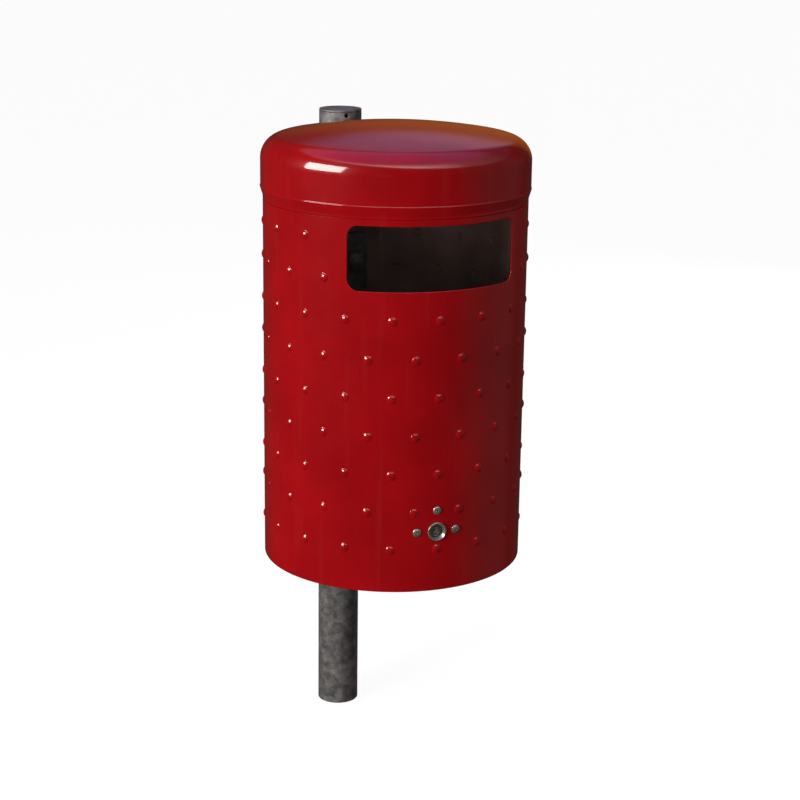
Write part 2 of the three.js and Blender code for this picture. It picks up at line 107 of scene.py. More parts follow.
# The lock's depths are measured outwards from the shell's outer face.
LOCK_HEIGHT, LOCK_HEAD, LOCK_BARREL, LOCK_BORE, LOCK_STEM = 67.2, 10.4, 8.0, 6.9, 4.0
LOCK = {"face": 2.4, "dish": -0.9, "barrel": -19.0, "bore": -9.0, "seat": -4.2, "drive": -0.4, "stem": -21.6,
        "square": -26.6}
LOCK_NUT = {"across": 22.5, "low": -12.6, "high": -6.6}
CAM = {"half": 8.0, "reach": 30.0, "low": -25.2, "sheet": 3.0, "hole": 4.75}
LOCK_RIVETS = {"across": 22.0, "above": 23.6, "grip": 3.8}
LOCK_PLATE = {"half_angle": 13.5, "below": 18.0, "above": 34.0, "sheet": 2.0, "corner": 4.0}
RIVET = {"head": 4.7, "rise": 2.2, "body": 2.4, "mandrel": 1.25}
RIVET_HOLE = RIVET["body"] + GAP

BRACKET_HEIGHTS = {"upper": 310.0, "lower": 131.0}
BRACKET_TALL, BRACKET_SHEET, BRACKET_MOUTH, BRACKET_EARS, BRACKET_BEND = 40.0, 4.0, 34.0, 50.0, 4.0
BACKING = {"half_angle": 6.0, "beyond": 30.0, "sheet": 3.0, "corner": 5.0}
CLAMP_BOLT_ACROSS, CLAMP_BOLT_LENGTH, WALL_BOLT_LENGTH = 40.0, 26.0, 23.0
M8 = {"radius": 4.0, "pitch": 1.25, "across": 13.0, "head": 5.3, "nut": 6.5, "hole": 4.5, "plain": 6.0}

EDGE_STEPS = 3
SHARP_ANGLE = radians(38)

# ---------- studio, in metres, degrees and watts ----------
CAMERA_PLACE = Vector((-0.6798, -2.1297, 1.0174))
CAMERA_TARGET = Vector((0.0072, -0.2025, 0.4465))
CAMERA_ROLL, CAMERA_LENS = 0.76, 85.0
LIGHT_TARGET = Vector((0, -0.2, 0.5))
LIGHTS = [  # name, azimuth, elevation, distance, size, power, colour, ray kind that it is left out of
    ("shine", -82, 22, 2.6, (1.6, 1.1), 110, (1.0, 0.96, 0.92), "diffuse"),
    ("key", -80, 18, 2.6, (1.4, 0.8), 24, (1.0, 0.96, 0.92), "glossy"),
    ("side_fill", -63, 6, 3.0, (0.7, 0.8), 56, (1.0, 0.96, 0.93), "glossy"),
    ("front_fill", -30, 4, 3.0, (0.8, 0.6), 9, (1.0, 0.96, 0.95), "glossy"),
    ("rear_fill", 125, 8, 3.0, (0.9, 0.9), 24, (1.0, 0.97, 0.96), "glossy"),
]
CHAMBER = {"place": (0.02, -0.05, 0.33), "way": (-0.207, 0.973, -0.105), "size": (0.12, 0.12), "power": 0.025}
CEILING = {
    "starts": 38, "blend": 3, "fades": 57, "tilt": 0.2, "brightest": (-40, 0), "reach": 0.75,
    "rim": [(0.0, (0.08, 0.06, 0.10, 1)), (0.5, (0.62, 0.55, 0.56, 1)), (0.74, (2.7, 2.35, 2.25, 1)),
            (1.0, (6.0, 5.2, 4.9, 1))],
    "middle": (0.18, 0.17, 0.22, 1), "sheen": (0.55, 0.34, 0.85, 1), "walls": (0.036, 0.023, 0.019, 1),
}
GLOWS = [  # azimuth and elevation, full and faded radius, colour
    ((150, 9), 5, 20, (0.31, 0.08, 0.0, 1)),
    ((156, 27), 4, 15, (0.16, 0.19, 0.36, 1)),
    ((72, 6), 12, 48, (0.075, 0.08, 0.08, 1)),
]
BACKDROP = (0.97, 0.97, 0.97, 1)
FLOOR = {"half": 40.0, "below": 0.0005, "paint": (0.8, 0.8, 0.8, 1), "glow": 1.15, "glow_share": 0.8}


# ---------- bodies ----------
class Body:
    """Points in millimetres, faces, each face's finish, and the surface's own normals where it has them."""

    def __init__(self, points, faces, finish=None, normals=None):
        self.points = np.asarray(points, float)
        self.faces = faces
        self.finish = finish if finish is not None else [0] * len(faces)
        self.normals = normals

    def moved(self, matrix):
        turn = np.array(matrix)[:3, :3]
        shift = np.array(matrix)[:3, 3]
        normals = None if self.normals is None else self.normals @ turn.T
        return Body(self.points @ turn.T + shift, self.faces, self.finish, normals)


def together(*bodies):
    points, faces, finish = [], [], []
    for body in bodies:
        start = sum(len(p) for p in points)
        points.append(body.points)
        faces += [tuple(i + start for i in face) for face in body.faces]
        finish += list(body.finish)
    return Body(np.vstack(points), faces, finish)


def rounded(points, radius, closed=True, steps=5):
    """The outline with each corner turned into an arc. A third number in a point is its own radius."""
    made = []
    for i, point in enumerate(points):
        here = Vector(point[:2])
        own = point[2] if len(point) > 2 else radius
        if own == 0 or (not closed and i in (0, len(points) - 1)):
            made.append(tuple(here))
            continue
        before = Vector(points[i - 1][:2]) - here
        after = Vector(points[(i + 1) % len(points)][:2]) - here
        half = before.angle(after) / 2
        reach = min(own / tan(half), before.length * 0.49, after.length * 0.49)
        own = reach * tan(half)
        start = here + before.normalized() * reach
        centre = here + (before.normalized() + after.normalized()).normalized() * (own / sin(half))
        first = start - centre
        sweep = pi - 2 * half
        side = 1 if (-before).cross(after) > 0 else -1
        angle = atan2(first.y, first.x)
        for k in range(steps + 1):
            a = angle + side * sweep * k / steps
            made.append((centre.x + own * cos(a), centre.y + own * sin(a)))
    return made


def rectangle(left, right, low, high, corner, steps=5):
    return rounded([(left, low), (right, low), (right, high), (left, high)], corner, steps=steps)


def crossings(columns, rows):
    return np.array([(u, v) for u in columns for v in rows])


def turned(profile, segments=48, closed=False, finish=None):
    """A profile of (radius, z) turned round Z. An open profile starts and ends on the axis."""
    points, rings, faces, made_finish = [], [], [], []
    for r, z in profile:
        if r < 1e-6:
            rings.append([len(points)] * segments)
            points.append((0.0, 0.0, z))
        else:
            rings.append(range(len(points), len(points) + segments))
            for k in range(segments):
                a = 2 * pi * k / segments
                points.append((r * cos(a), r * sin(a), z))
    pairs = list(zip(rings, rings[1:]))
    if closed:
        pairs.append((rings[-1], rings[0]))
    for index, (low, high) in enumerate(pairs):
        for k in range(segments):
            n = (k + 1) % segments
            corners = dict.fromkeys((low[k], low[n], high[n], high[k]))
            if len(corners) > 2:
                faces.append(tuple(corners))
                made_finish.append(finish(index) if finish else 0)
    return facing_out(Body(points, faces, made_finish))


def bridged(first, second, count, closes=True):
    """Faces between two rings of count points that start at these indices."""
    last = count if closes else count - 1
    return [(first + i, first + (i + 1) % count, second + (i + 1) % count, second + i) for i in range(last)]


def ring_points(radius, angles, z):
    """Points at these angles round Z. radius and z are numbers, or one value for each angle."""
    return np.column_stack((radius * np.cos(angles), radius * np.sin(angles), z + 0 * angles))


def stacked(rings, closed=False):
    """A body through rings with equal numbers of points, listed upwards. An open stack gets end caps."""
    count = len(rings[0])
    starts = range(0, count * len(rings), count)
    faces = []
    for first, second in zip(starts, starts[1:]):
        faces += bridged(first, second, count)
    if closed:
        faces += bridged(starts[-1], 0, count)
    else:
        faces += [tuple(range(count))[::-1], tuple(range(starts[-1], starts[-1] + count))]
    return facing_out(Body(np.vstack(rings), faces))


def facing_out(body):
    """The body with its faces' order reversed if they enclose a negative volume."""
    volume = 0.0
    for face in body.faces:
        a = body.points[face[0]]
        for i in range(1, len(face) - 1):
            volume += np.dot(a, np.cross(body.points[face[i]], body.points[face[i + 1]]))
    if volume < 0:
        body.faces = [tuple(reversed(face)) for face in body.faces]
    return body


def disc_points(centre, radius, count, turn=0.0):
    angles = turn + 2 * pi * np.arange(count) / count
    return np.column_stack((centre[0] + radius * np.cos(angles), centre[1] + radius * np.sin(angles)))


def signed_area(loop):
    x, y = loop[:, 0], loop[:, 1]
    return 0.5 * np.sum(x * np.roll(y, -1) - np.roll(x, -1) * y)


def inside(loop, points):
    """Which points are inside the closed loop."""
    found = np.zeros(len(points), bool)
    px, py = points[:, 0], points[:, 1]
    for (ax, ay), (bx, by) in zip(loop, np.roll(loop, -1, axis=0)):
        if ay == by:
            continue
        crosses = ((ay > py) != (by > py)) & (px < (bx - ax) * (py - ay) / (by - ay) + ax)
        found ^= crosses
    return found


def into_material(loop):
    """At each corner of a loop, the mitred direction to its left, which is where the sheet is."""
    along = np.roll(loop, -1, axis=0) - loop
    along /= np.linalg.norm(along, axis=1)[:, None]
    left = np.column_stack((-along[:, 1], along[:, 0]))
    mitre = left + np.roll(left, 1, axis=0)
    return mitre / (np.sum(mitre * left, axis=1))[:, None]


def surface_frame(place, u, v, depth):
    """The formed surface's outward normal and its two tangents at flat points."""
    step = 0.01
    across = place(u + step, v, depth) - place(u - step, v, depth)
    up = place(u, v + step, depth) - place(u, v - step, depth)
    deeper = place(u, v, depth + step) - place(u, v, depth - step)
    normal = np.cross(across, up)
    normal /= np.linalg.norm(normal, axis=1)[:, None]
    normal *= np.where(np.sum(normal * deeper, axis=1) > 0, -1.0, 1.0)[:, None]
    return normal, across / (2 * step), up / (2 * step)


def drawn_in(loop, edge, turn):
    """The loop moved into the sheet by edge, and the directions it moved in. turn is 1 for the outline
    and -1 for a hole."""
    loop = np.asarray(loop, float)
    loop = loop if signed_area(loop) * turn > 0 else loop[::-1]
    left = into_material(loop)
    return loop + left * edge, left


def wrapped_bound(columns, rows, edge):
    """The flat rectangle of a sheet that closes on itself, and its lower and upper edge as open loops."""
    low, high = rows[0] + edge, rows[-1] - edge
    rim = [(u, low) for u in columns] + [(columns[-1], v) for v in rows[1:-1]]
    rim += [(u, high) for u in columns[::-1]] + [(columns[0], v) for v in rows[-2:0:-1]]
    loops = []
    for line, level, inward in ((columns, low, 1.0), (columns[::-1], high, -1.0)):
        ring = np.column_stack((line, np.full(len(line), level)))
        loops.append((ring, np.tile((0.0, inward), (len(line), 1)), False))
    return np.array(rim), loops


def triangulated(bound, gaps, extra):
    """Flat points, and the triangles between them that are inside the bound and outside the gaps."""
    flat, edges = [], []
    for ring in [bound, *gaps]:
        start = len(flat)
        flat += [*map(tuple, ring)]
        edges += [(start + i, start + (i + 1) % len(ring)) for i in range(len(ring))]
    flat += [*map(tuple, extra)]
    found = delaunay_2d_cdt([Vector(p) for p in flat], edges, [], 1, 1e-6)
    flat = np.array([tuple(p) for p in found[0]])
    triangles = np.array(found[2])
    middles = flat[triangles].mean(axis=1)
    keep = inside(bound, middles)
    for gap in gaps:
        keep &= ~inside(gap, middles)
    return flat, triangles[keep]


def rolled_edge(ring, left, edge, thickness, place):
    """Rows of points, each with its normals, that round a sheet's edge from its outer to its inner face."""
    turns = [radians(90) * (1 - k / EDGE_STEPS) for k in range(EDGE_STEPS + 1)]
    stations = [(a, edge * (1 - sin(a)), 1) for a in turns]
    stations += [(a, thickness - edge * (1 - sin(a)), -1) for a in reversed(turns)]
    rows = []
    for a, depth, side in stations:
        u, v = (ring - left * edge * cos(a)).T
        deep = np.full(len(ring), depth)
        out, across, up = surface_frame(place, u, v, deep)
        edge_way = -(left[:, :1] * across + left[:, 1:] * up)
        edge_way /= np.linalg.norm(edge_way, axis=1)[:, None]
        rows.append((place(u, v, deep), edge_way * cos(a) + out * side * sin(a)))
    return rows


def sheet_solid(outer, holes, extra, thickness, edge, place, wrap=False):
    """A sheet drawn flat and formed: place(u, v, depth) gives its points, depth 0 on its outer face.
    outer is a loop, or with wrap the (columns, rows) of a flat rectangle that closes on itself.
    Its edges are rounded by the radius edge. extra are more points inside the outline."""
    if wrap:
        bound, loops = wrapped_bound(*outer, edge)
    else:
        bound, left = drawn_in(outer, edge, 1)
        loops = [(bound, left, True)]
    gaps = []
    for hole in holes:
        gap, left = drawn_in(hole, edge, -1)
        gaps.append(gap)
        loops.append((gap, left, True))
    flat, triangles = triangulated(bound, gaps, extra)

    u, v = flat.T
    formed = []
    for depth, side in ((0.0, 1), (thickness, -1)):
        deep = np.full(len(u), depth)
        formed.append((place(u, v, deep), side * surface_frame(place, u, v, deep)[0]))
    faces = [tuple(t) for t in triangles] + [tuple(t[::-1] + len(flat)) for t in triangles]
    finish = [0] * len(triangles) + [1] * len(triangles)
    count = 2 * len(flat)
    for ring, left, closes in loops:
        for row in rolled_edge(ring, left, edge, thickness, place):
            formed.append(row)
            count += len(ring)
        first = count - 2 * (EDGE_STEPS + 1) * len(ring)
        for start in range(first, count - len(ring), len(ring)):
            faces += bridged(start + len(ring), start, len(ring), closes)
    finish += [0] * (len(faces) - len(finish))
    points, normals = zip(*formed)
    return merged(np.vstack(points), faces, finish, np.vstack(normals))


def merged(points, faces, finish, normals):
    """One body with points that lie on each other joined and collapsed faces left out."""
    keys = np.round(points, 3) + 0.0
    _, first, where = np.unique(keys, axis=0, return_index=True, return_inverse=True)
    where = where.ravel()
    summed = np.zeros((len(first), 3))
    np.add.at(summed, where, normals)
    summed /= np.maximum(np.linalg.norm(summed, axis=1), 1e-9)[:, None]
    kept, kept_finish = [], []
    for face, paint in zip(faces, finish):
        corners = tuple(dict.fromkeys(int(where[i]) for i in face))
        if len(corners) > 2:
            kept.append(corners)
            kept_finish.append(paint)
    return facing_out(Body(points[first], kept, kept_finish, summed))


class Path:
    """A line in a plane made of straight steps (length, 0) and bends (radius, turn in degrees)."""

    def __init__(self, start, heading, *steps):
        at, way, along = Vector(start), radians(heading), 0.0
        self.starts, self.points, self.ways, self.curves = [], [], [], []
        for size, turn in steps:
            length = size * abs(radians(turn)) if turn else size
            curve = radians(turn) / length if turn else 0.0
            self.starts.append(along)
            self.points.append(tuple(at))
            self.ways.append(way)
            self.curves.append(curve)
            if turn:
                after = way + curve * length
                at += Vector((sin(after) - sin(way), cos(way) - cos(after))) / curve
            else:
                at += Vector((cos(way), sin(way))) * length
            way += curve * length
            along += length
        self.length = along
        self.arrays = [np.array(x, float) for x in (self.starts, self.points, self.ways, self.curves)]

    def at(self, s, offset):
        """Points at distance s along the line, offset to its left."""
        starts, points, ways, curves = self.arrays
        i = np.clip(np.searchsorted(starts, s, side="right") - 1, 0, len(starts) - 1)
        ahead, way, curve = s - starts[i], ways[i], curves[i]
        bent = np.where(curve == 0, 1.0, curve)
        now = way + curve * ahead
        x = np.where(curve == 0, ahead * np.cos(way), (np.sin(now) - np.sin(way)) / bent)
        y = np.where(curve == 0, ahead * np.sin(way), (np.cos(way) - np.cos(now)) / bent)
        return points[i, 0] + x - offset * np.sin(now), points[i, 1] + y + offset * np.cos(now)

    def bend_stations(self, every=15.0):
        """Distances at which the flat sheet needs a row of points so that its bends are round."""
        found = []
        for i, curve in enumerate(self.curves):
            if curve:
                end = self.starts[i + 1] if i + 1 < len(self.starts) else self.length
                steps = max(2, round(abs(curve) * (end - self.starts[i]) / radians(every)))
                found += list(np.linspace(self.starts[i], end, steps + 1))
        return sorted(set(round(x, 4) for x in found))


def folded(path, thickness, order):
    """The place function of a sheet whose middle follows path. order says which of the path's two
    directions (0, 1) and the sheet's width (2) becomes x, y and z."""

    def place(u, v, depth):
        a, b = path.at(u, thickness / 2 - depth)
        return np.column_stack([(a, b, v)[i] for i in order])

    return place


def with_stations(loop, stations):
    """The loop with a point added wherever it crosses one of the stations along u."""
    made = []
    for a, b in zip(loop, [*loop[1:], loop[0]]):
        made.append(tuple(a))
        crossed = [s for s in stations if min(a[0], b[0]) + 1e-3 < s < max(a[0], b[0]) - 1e-3]
        for s in sorted(crossed, reverse=b[0] < a[0]):
            made.append((s, a[1] + (b[1] - a[1]) * (s - a[0]) / (b[0] - a[0])))
    return made


def folded_sheet(path, outline, holes, thickness, edge, order):
    """A bent plate: its outline and holes are flat (u, v) loops, u along path."""
    stations = path.bend_stations()
    loop = np.array(with_stations(outline, stations))
    levels = np.linspace(loop[:, 1].min(), loop[:, 1].max(), 7)[1:-1]
    grid = crossings(stations, levels)
    keep = clear_of(grid, holes, 1.0, loop) & inside(loop, grid)
    return sheet_solid(loop, holes, grid[keep], thickness, edge, folded(path, thickness, order))


def clear_of(points, holes, distance, outline=None):
    """Which points are outside the holes, and further than distance from their corners and the outline's."""
    keep = np.ones(len(points), bool)
    for loop in holes if outline is None else [outline, *holes]:
        keep &= np.linalg.norm(points[:, None, :] - loop[None, :, :], axis=2).min(axis=1) > distance
    for hole in holes:
        keep &= ~inside(hole, points)
    return keep


def hexagon(across, low, high, bore=0.0, flange=0.0):
    """A hexagon nut or bolt head along Z with the round chamfers of the real thing."""
    angles = radians(5) * np.arange(72)
    inner, chamfer = across / 2 * 0.96, 0.5
    reach = across / 2 / np.cos(angles % (pi / 3) - pi / 6)
    drop = (reach - inner) * tan(radians(30))
    if flange:
        levels = [(inner, low), (inner, low + flange), (reach, low + flange)]
    else:
        levels = [(inner, low), (reach, low + drop)]
    levels += [(reach, high - drop), (inner, high)]
    if bore:
        levels = [(bore, low + chamfer), (bore + chamfer, low)] + levels
        levels += [(bore + chamfer, high), (bore, high - chamfer)]
    return stacked([ring_points(r, angles, z) for r, z in levels], closed=bore > 0)


def thread(radius, pitch, low, high):
    """A threaded shank along Z with a helical ridge and a chamfered tip at low."""
    segments, per_turn, depth, chamfer = 24, 6, 0.6 * pitch, 1.1
    share = np.arange(segments) / segments
    rings = []
    for z in np.linspace(low, high, int((high - low) / pitch * per_turn) + 1):
        ridge = 1 - abs(2 * (((z - low) / pitch - share) % 1.0) - 1)
        r = np.minimum(radius - depth * ridge, radius - chamfer + (z - low))
        rings.append(ring_points(r, 2 * pi * share, z))
    return stacked(rings)


# ---------- finishes ----------
def fill(tree, node, inputs):
    """Sets a node's inputs to values, or links them to other nodes' outputs."""
    for name, value in inputs.items():
        if isinstance(value, bpy.types.NodeSocket):
            tree.links.new(value, node.inputs[name])
        else:
            node.inputs[name].default_value = value


def add(tree, kind, inputs, **settings):
    made = tree.nodes.new(kind)
    for name, value in settings.items():
        setattr(made, name, value)
    fill(tree, made, inputs)
    return made


def noise(tree, place, scale, detail=2.0, roughness=0.5):
    inputs = {"Vector": place, "Scale": scale, "Detail": detail, "Roughness": roughness}
    return add(tree, "ShaderNodeTexNoise", inputs).outputs["Fac"]


def spread(tree, value, low, high, to_low, to_high):
    inputs = {"Value": value, "From Min": low, "From Max": high, "To Min": to_low, "To Max": to_high}
    return add(tree, "ShaderNodeMapRange", inputs).outputs["Result"]


def patches(tree, place, scale, detail, limits, result=(0, 1), roughness=0.5):
    """Noise between the two limits, spread over the result's range."""
    return spread(tree, noise(tree, place, scale, detail, roughness), *limits, *result)


def colour_mix(tree, factor, first, second, kind="MIX"):
    inputs = {0: factor, 6: first, 7: second}
    made = add(tree, "ShaderNodeMix", inputs, data_type="RGBA", blend_type=kind)
    return made.outputs[2]


def stretched(tree, place, scale):
    return add(tree, "ShaderNodeMapping", {"Vector": place, "Scale": scale}).outputs["Vector"]


def new_finish(name):
    material = bpy.data.materials.new(name)
    material.use_nodes = True
    tree = material.node_tree
    place = tree.nodes.new("ShaderNodeTexCoord").outputs["Object"]
    return material, tree, place, tree.nodes["Principled BSDF"]


def bump(tree, shader, height, strength, distance, under=None):
    inputs = {"Height": height, "Strength": strength, "Distance": distance}
    if under is not None:
        inputs["Normal"] = under
    made = add(tree, "ShaderNodeBump", inputs).outputs["Normal"]
    fill(tree, shader, {"Normal": made})
    return made


def powder_coat():
    """Glossy red powder coat: orange peel, faint cloudiness, rain streaks and fine dust."""
    material, tree, place, shader = new_finish("red_powder_coat")
    cloud = patches(tree, place, 14, 3, (0.3, 0.7))
    base = colour_mix(tree, cloud, (0.29, 0.0022, 0.0048, 1), (0.37, 0.0030, 0.0062, 1))
    streaks = patches(tree, stretched(tree, place, (90, 90, 5)), 1.0, 4, (0.56, 0.8), (0, 0.05), 0.6)
    base = colour_mix(tree, streaks, base, (0.34, 0.17, 0.15, 1))
    specks = patches(tree, place, 900, 2, (0.70, 0.8), (0, 0.12))
    base = colour_mix(tree, specks, base, (0.42, 0.22, 0.19, 1))
    rough = patches(tree, place, 40, 4, (0.3, 0.75), (0.30, 0.42))
    fill(tree, shader, {"Base Color": base, "Roughness": rough, "Specular IOR Level": 0.05,
                        "Coat Weight": 1.0, "Coat Roughness": 0.09, "Diffuse Roughness": 0.6})
    peel = bump(tree, shader, noise(tree, place, 420, 1.5), 0.22, 0.0002)
    bump(tree, shader, noise(tree, place, 2600, 1), 0.08, 0.0001, peel)
    return material


def grime_and_painted_shade_inside():
    """The dull inside: a dark brown-grey coat that partly paints the shade inside the bin, with grime
    patches, dry splashes and runs.
    """
    material, tree, place, shader = new_finish("grime_and_painted_shade_inside")
    patch = patches(tree, place, 22, 5, (0.35, 0.7), roughness=0.6)
    # painted shade: the base colour is kept dark brown-grey so the bin's inside looks shaded; the patches and
    # runs over it are grime
    base = colour_mix(tree, patch, (0.10, 0.062, 0.052, 1), (0.17, 0.108, 0.09, 1))
    runs = patches(tree, stretched(tree, place, (70, 70, 6)), 1.0, 4, (0.6, 0.8), (0, 0.4), 0.6)
    base = colour_mix(tree, runs, base, (0.24, 0.17, 0.14, 1))
    fill(tree, shader, {"Base Color": base, "Roughness": spread(tree, patch, 0, 1, 0.55, 0.8)})
    bump(tree, shader, noise(tree, place, 260, 4), 0.2, 0.0004)
    return material


def galvanised():
    """Weathered hot-dip zinc: spangle cells, a dull dark patina in blotches and pale flecks."""
    material, tree, place, shader = new_finish("galvanised_tube")
    warp = add(tree, "ShaderNodeTexNoise", {"Vector": place, "Scale": 60.0, "Detail": 3.0})
    bent = colour_mix(tree, 0.012, place, warp.outputs["Color"], "ADD")
    cells = add(tree, "ShaderNodeTexVoronoi", {"Vector": bent, "Scale": 150.0})
    spangle = add(tree, "ShaderNodeSeparateColor", {"Color": cells.outputs["Color"]}).outputs["Red"]
    base = colour_mix(tree, spangle, (0.14, 0.14, 0.14, 1), (0.235, 0.235, 0.235, 1))
    blotch = patches(tree, place, 75, 5, (0.42, 0.66), (0, 0.85), 0.65)
    base = colour_mix(tree, blotch, base, (0.07, 0.07, 0.067, 1))
    pale = patches(tree, place, 180, 4, (0.6, 0.75), (0, 0.5), 0.6)
    base = colour_mix(tree, pale, base, (0.34, 0.34, 0.33, 1))
    rough = spread(tree, spangle, 0, 1, 0.48, 0.66)
    fill(tree, shader, {"Base Color": base, "Roughness": rough, "Metallic": 0.35})
    grain = bump(tree, shader, spangle, 0.12, 0.0002)
    bump(tree, shader, noise(tree, place, 320, 5), 0.25, 0.0003, grain)
    return material


def zinc_plate():
    """Satin zinc plating on hardware, a little stained and scuffed."""
    material, tree, place, shader = new_finish("zinc_hardware")
    stain = patches(tree, place, 160, 4, (0.4, 0.7), roughness=0.6)
    base = colour_mix(tree, stain, (0.42, 0.44, 0.38, 1), (0.23, 0.25, 0.215, 1))
    rough = patches(tree, place, 420, 3, (0.3, 0.7), (0.22, 0.38))
    fill(tree, shader, {"Base Color": base, "Roughness": rough, "Metallic": 0.75})
    scuffs = noise(tree, stretched(tree, place, (2200, 300, 300)), 1.0, 3)
    bump(tree, shader, scuffs, 0.1, 0.0001)
    return material


def bare_steel():
    """Dull galvanised sheet used for the plates inside."""
    material, tree, place, shader = new_finish("bare_sheet")
    stain = patches(tree, place, 45, 5, (0.35, 0.7), roughness=0.6)
    base = colour_mix(tree, stain, (0.26, 0.25, 0.235, 1), (0.12, 0.105, 0.09, 1))
    rough = spread(tree, stain, 0, 1, 0.45, 0.7)
    fill(tree, shader, {"Base Color": base, "Roughness": rough, "Metallic": 0.75})
    bump(tree, shader, noise(tree, place, 500, 3), 0.15, 0.0002)
    return material


# inner faces of the shell, lid and pan: grime, and a dark colour that paints the shade inside the bin
INSIDE_GRIME_AND_SHADE = grime_and_painted_shade_inside()
FINISHES = {
    "red_powder_coat": powder_coat(),
    "galvanised_tube": galvanised(),
    "zinc_hardware": zinc_plate(),
    "bare_sheet": bare_steel(),
}
SLOT_OF = {part["node"]: part["material_slot"] for part in frame["record"]["subparts"]}
IN_BIN = Matrix.Translation(BIN_CENTRE)
AT_POST = Matrix.Identity(4)


def linked(name, data):
    made = bpy.data.objects.new(name, data)
    bpy.context.scene.collection.objects.link(made)
    return made


def make(node, body, matrix=None, home=IN_BIN, second=None):
    """The piece that stands for a CAD node. It takes the node's body and material slot."""
    body = body.moved(home @ (matrix or Matrix.Identity(4)))
    mesh = bpy.data.meshes.new(f"fine_{node}")
    mesh.from_pydata([tuple(p) for p in body.points * MM], [], body.faces)
    mesh.materials.append(FINISHES[SLOT_OF[node]])
    if second:
        mesh.materials.append(second)
        mesh.polygons.foreach_set("material_index", body.finish)
    mesh.shade_smooth()
    piece = linked(f"fine_{node}", mesh)
    if body.normals is not None:
        mesh.normals_split_custom_set_from_vertices([tuple(n) for n in body.normals])
    else:
        mesh.set_sharp_from_angle(angle=SHARP_ANGLE)
        weigh = piece.modifiers.new("flat_faces_stay_flat", "WEIGHTED_NORMAL")
        weigh.keep_sharp = True
    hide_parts(node)
    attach(piece, frame["nodes"][node]["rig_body"])


def outward(angle, height, radius):
    """Local +Z points out of the bin's wall at this angle from its front, and local +Y points up."""
    a = radians(angle)
    out, side = Vector((sin(a), -cos(a), 0)), Vector((cos(a), sin(a), 0))
    turn = Matrix((side, Vector((0, 0, 1)), out)).transposed().to_4x4()
    return Matrix.Translation(out * radius + Vector((0, 0, height))) @ turn


def pointing(way, place):
    """Local +Z points along the way."""
    turn = Vector(way).to_track_quat("Z", "Y").to_matrix().to_4x4()
    return Matrix.Translation(Vector(place)) @ turn


# ---------- post ----------
def round_post(u, v, depth):
    """Where a flat point of the post's wall goes. u runs round it from the rear, v is its height."""
    r, a = POST_RADIUS - depth, u / POST_RADIUS
    return np.column_stack((r * np.sin(a), -r * np.cos(a), v))


def post_tube():
    hole_height = CAP_TOP - FRONT_HOLE["below"]
    columns = np.linspace(-pi, pi, 73) * POST_RADIUS
    rows = np.concatenate((np.linspace(0, 720, 19), [732, 738, POST_HIGH.z]))
    hole = disc_points((0, hole_height), FRONT_HOLE["radius"], 20)
    grid = crossings(columns[1:-1], rows[1:-1])
    grid = grid[clear_of(grid, [hole], 1.2)]
    body = sheet_solid((columns, rows), [hole], grid, POST_WALL, 0.5, round_post, wrap=True)
    make("post_tube", body, home=AT_POST)


def post_cap():
    spigot = POST_RADIUS - POST_WALL - GAP
    seat = POST_HIGH.z + GAP
    plate, inner, low = seat + CAP["plate"], spigot - CAP["wall"], seat - CAP["spigot"]
    profile = [(0, plate), (inner, plate), (inner, low), (spigot, low), (spigot, seat),
               (POST_RADIUS, seat, 0.3), (POST_RADIUS, CAP_TOP, 1.1), (6, CAP_TOP, 0), (0, CAP_TOP)]
    make("post_cap", turned(rounded(profile, 0.5, closed=False), 72), home=AT_POST)


# ---------- shell ----------
def on_seam(angle):
    """The same angle between the seam and the seam less a full turn."""
    return (angle - SEAM) % 360 + SEAM - 360


def nub_places():
    """Angle and height of each embossed nub, clear of the slot, the lock and the hat brackets."""
    places = []
    slot_reach = SLOT_HALF_ANGLE + np.degrees(NUB_MARGIN / SHELL_RADIUS)
    for row in range(NUB["rows"]):
        height = NUB["first"] + row * NUB["pitch"]
        for i in range(NUB["per_row"]):
            angle = ((i + (row % 2) / 2) * 360 / NUB["per_row"] + 180) % 360 - 180
            by_slot = abs(angle) < slot_reach and SLOT_LOW - NUB_MARGIN < height < SLOT_HIGH + NUB_MARGIN
            behind = radians(180 - abs(angle)) * SHELL_RADIUS
            by_bracket = behind < BRACKET_MOUTH / 2 + BRACKET_SHEET + NUB["reach"] and any(
                abs(height - z) < BRACKET_TALL / 2 + NUB["reach"] for z in BRACKET_HEIGHTS.values())
            if not (by_slot or by_bracket):
                places.append((radians(on_seam(angle)) * SHELL_RADIUS, height))
    return np.array(places)


def nub_height(distance):
    """A round cap that meets the wall through a small root radius, both sharing the flank's slope."""
    reach, root, slope = NUB["reach"], NUB["root"], radians(NUB["flank"])
    cap = reach / sin(slope) - root
    height = (cap + root) * (1 - cos(slope))
    top = height - cap + np.sqrt(np.maximum(cap**2 - distance**2, 0))
    foot = root - np.sqrt(np.maximum(root**2 - (reach - distance) ** 2, 0))
    inner = np.where(distance < cap * sin(slope), top, foot)
    return np.where(distance < reach, inner, 0.0)


def smooth_step(value):
    t = np.clip(value, 0, 1)
    return t * t * (3 - 2 * t)


def lock_rivet_places():
    """Name, angle in degrees and height of each rivet round the lock."""
    yaw, top = np.degrees(LOCK_RIVETS["across"] / SHELL_RADIUS), LOCK_HEIGHT + LOCK_RIVETS["above"]
    return ("left", -yaw, LOCK_HEIGHT), ("right", yaw, LOCK_HEIGHT), ("top", 0, top)


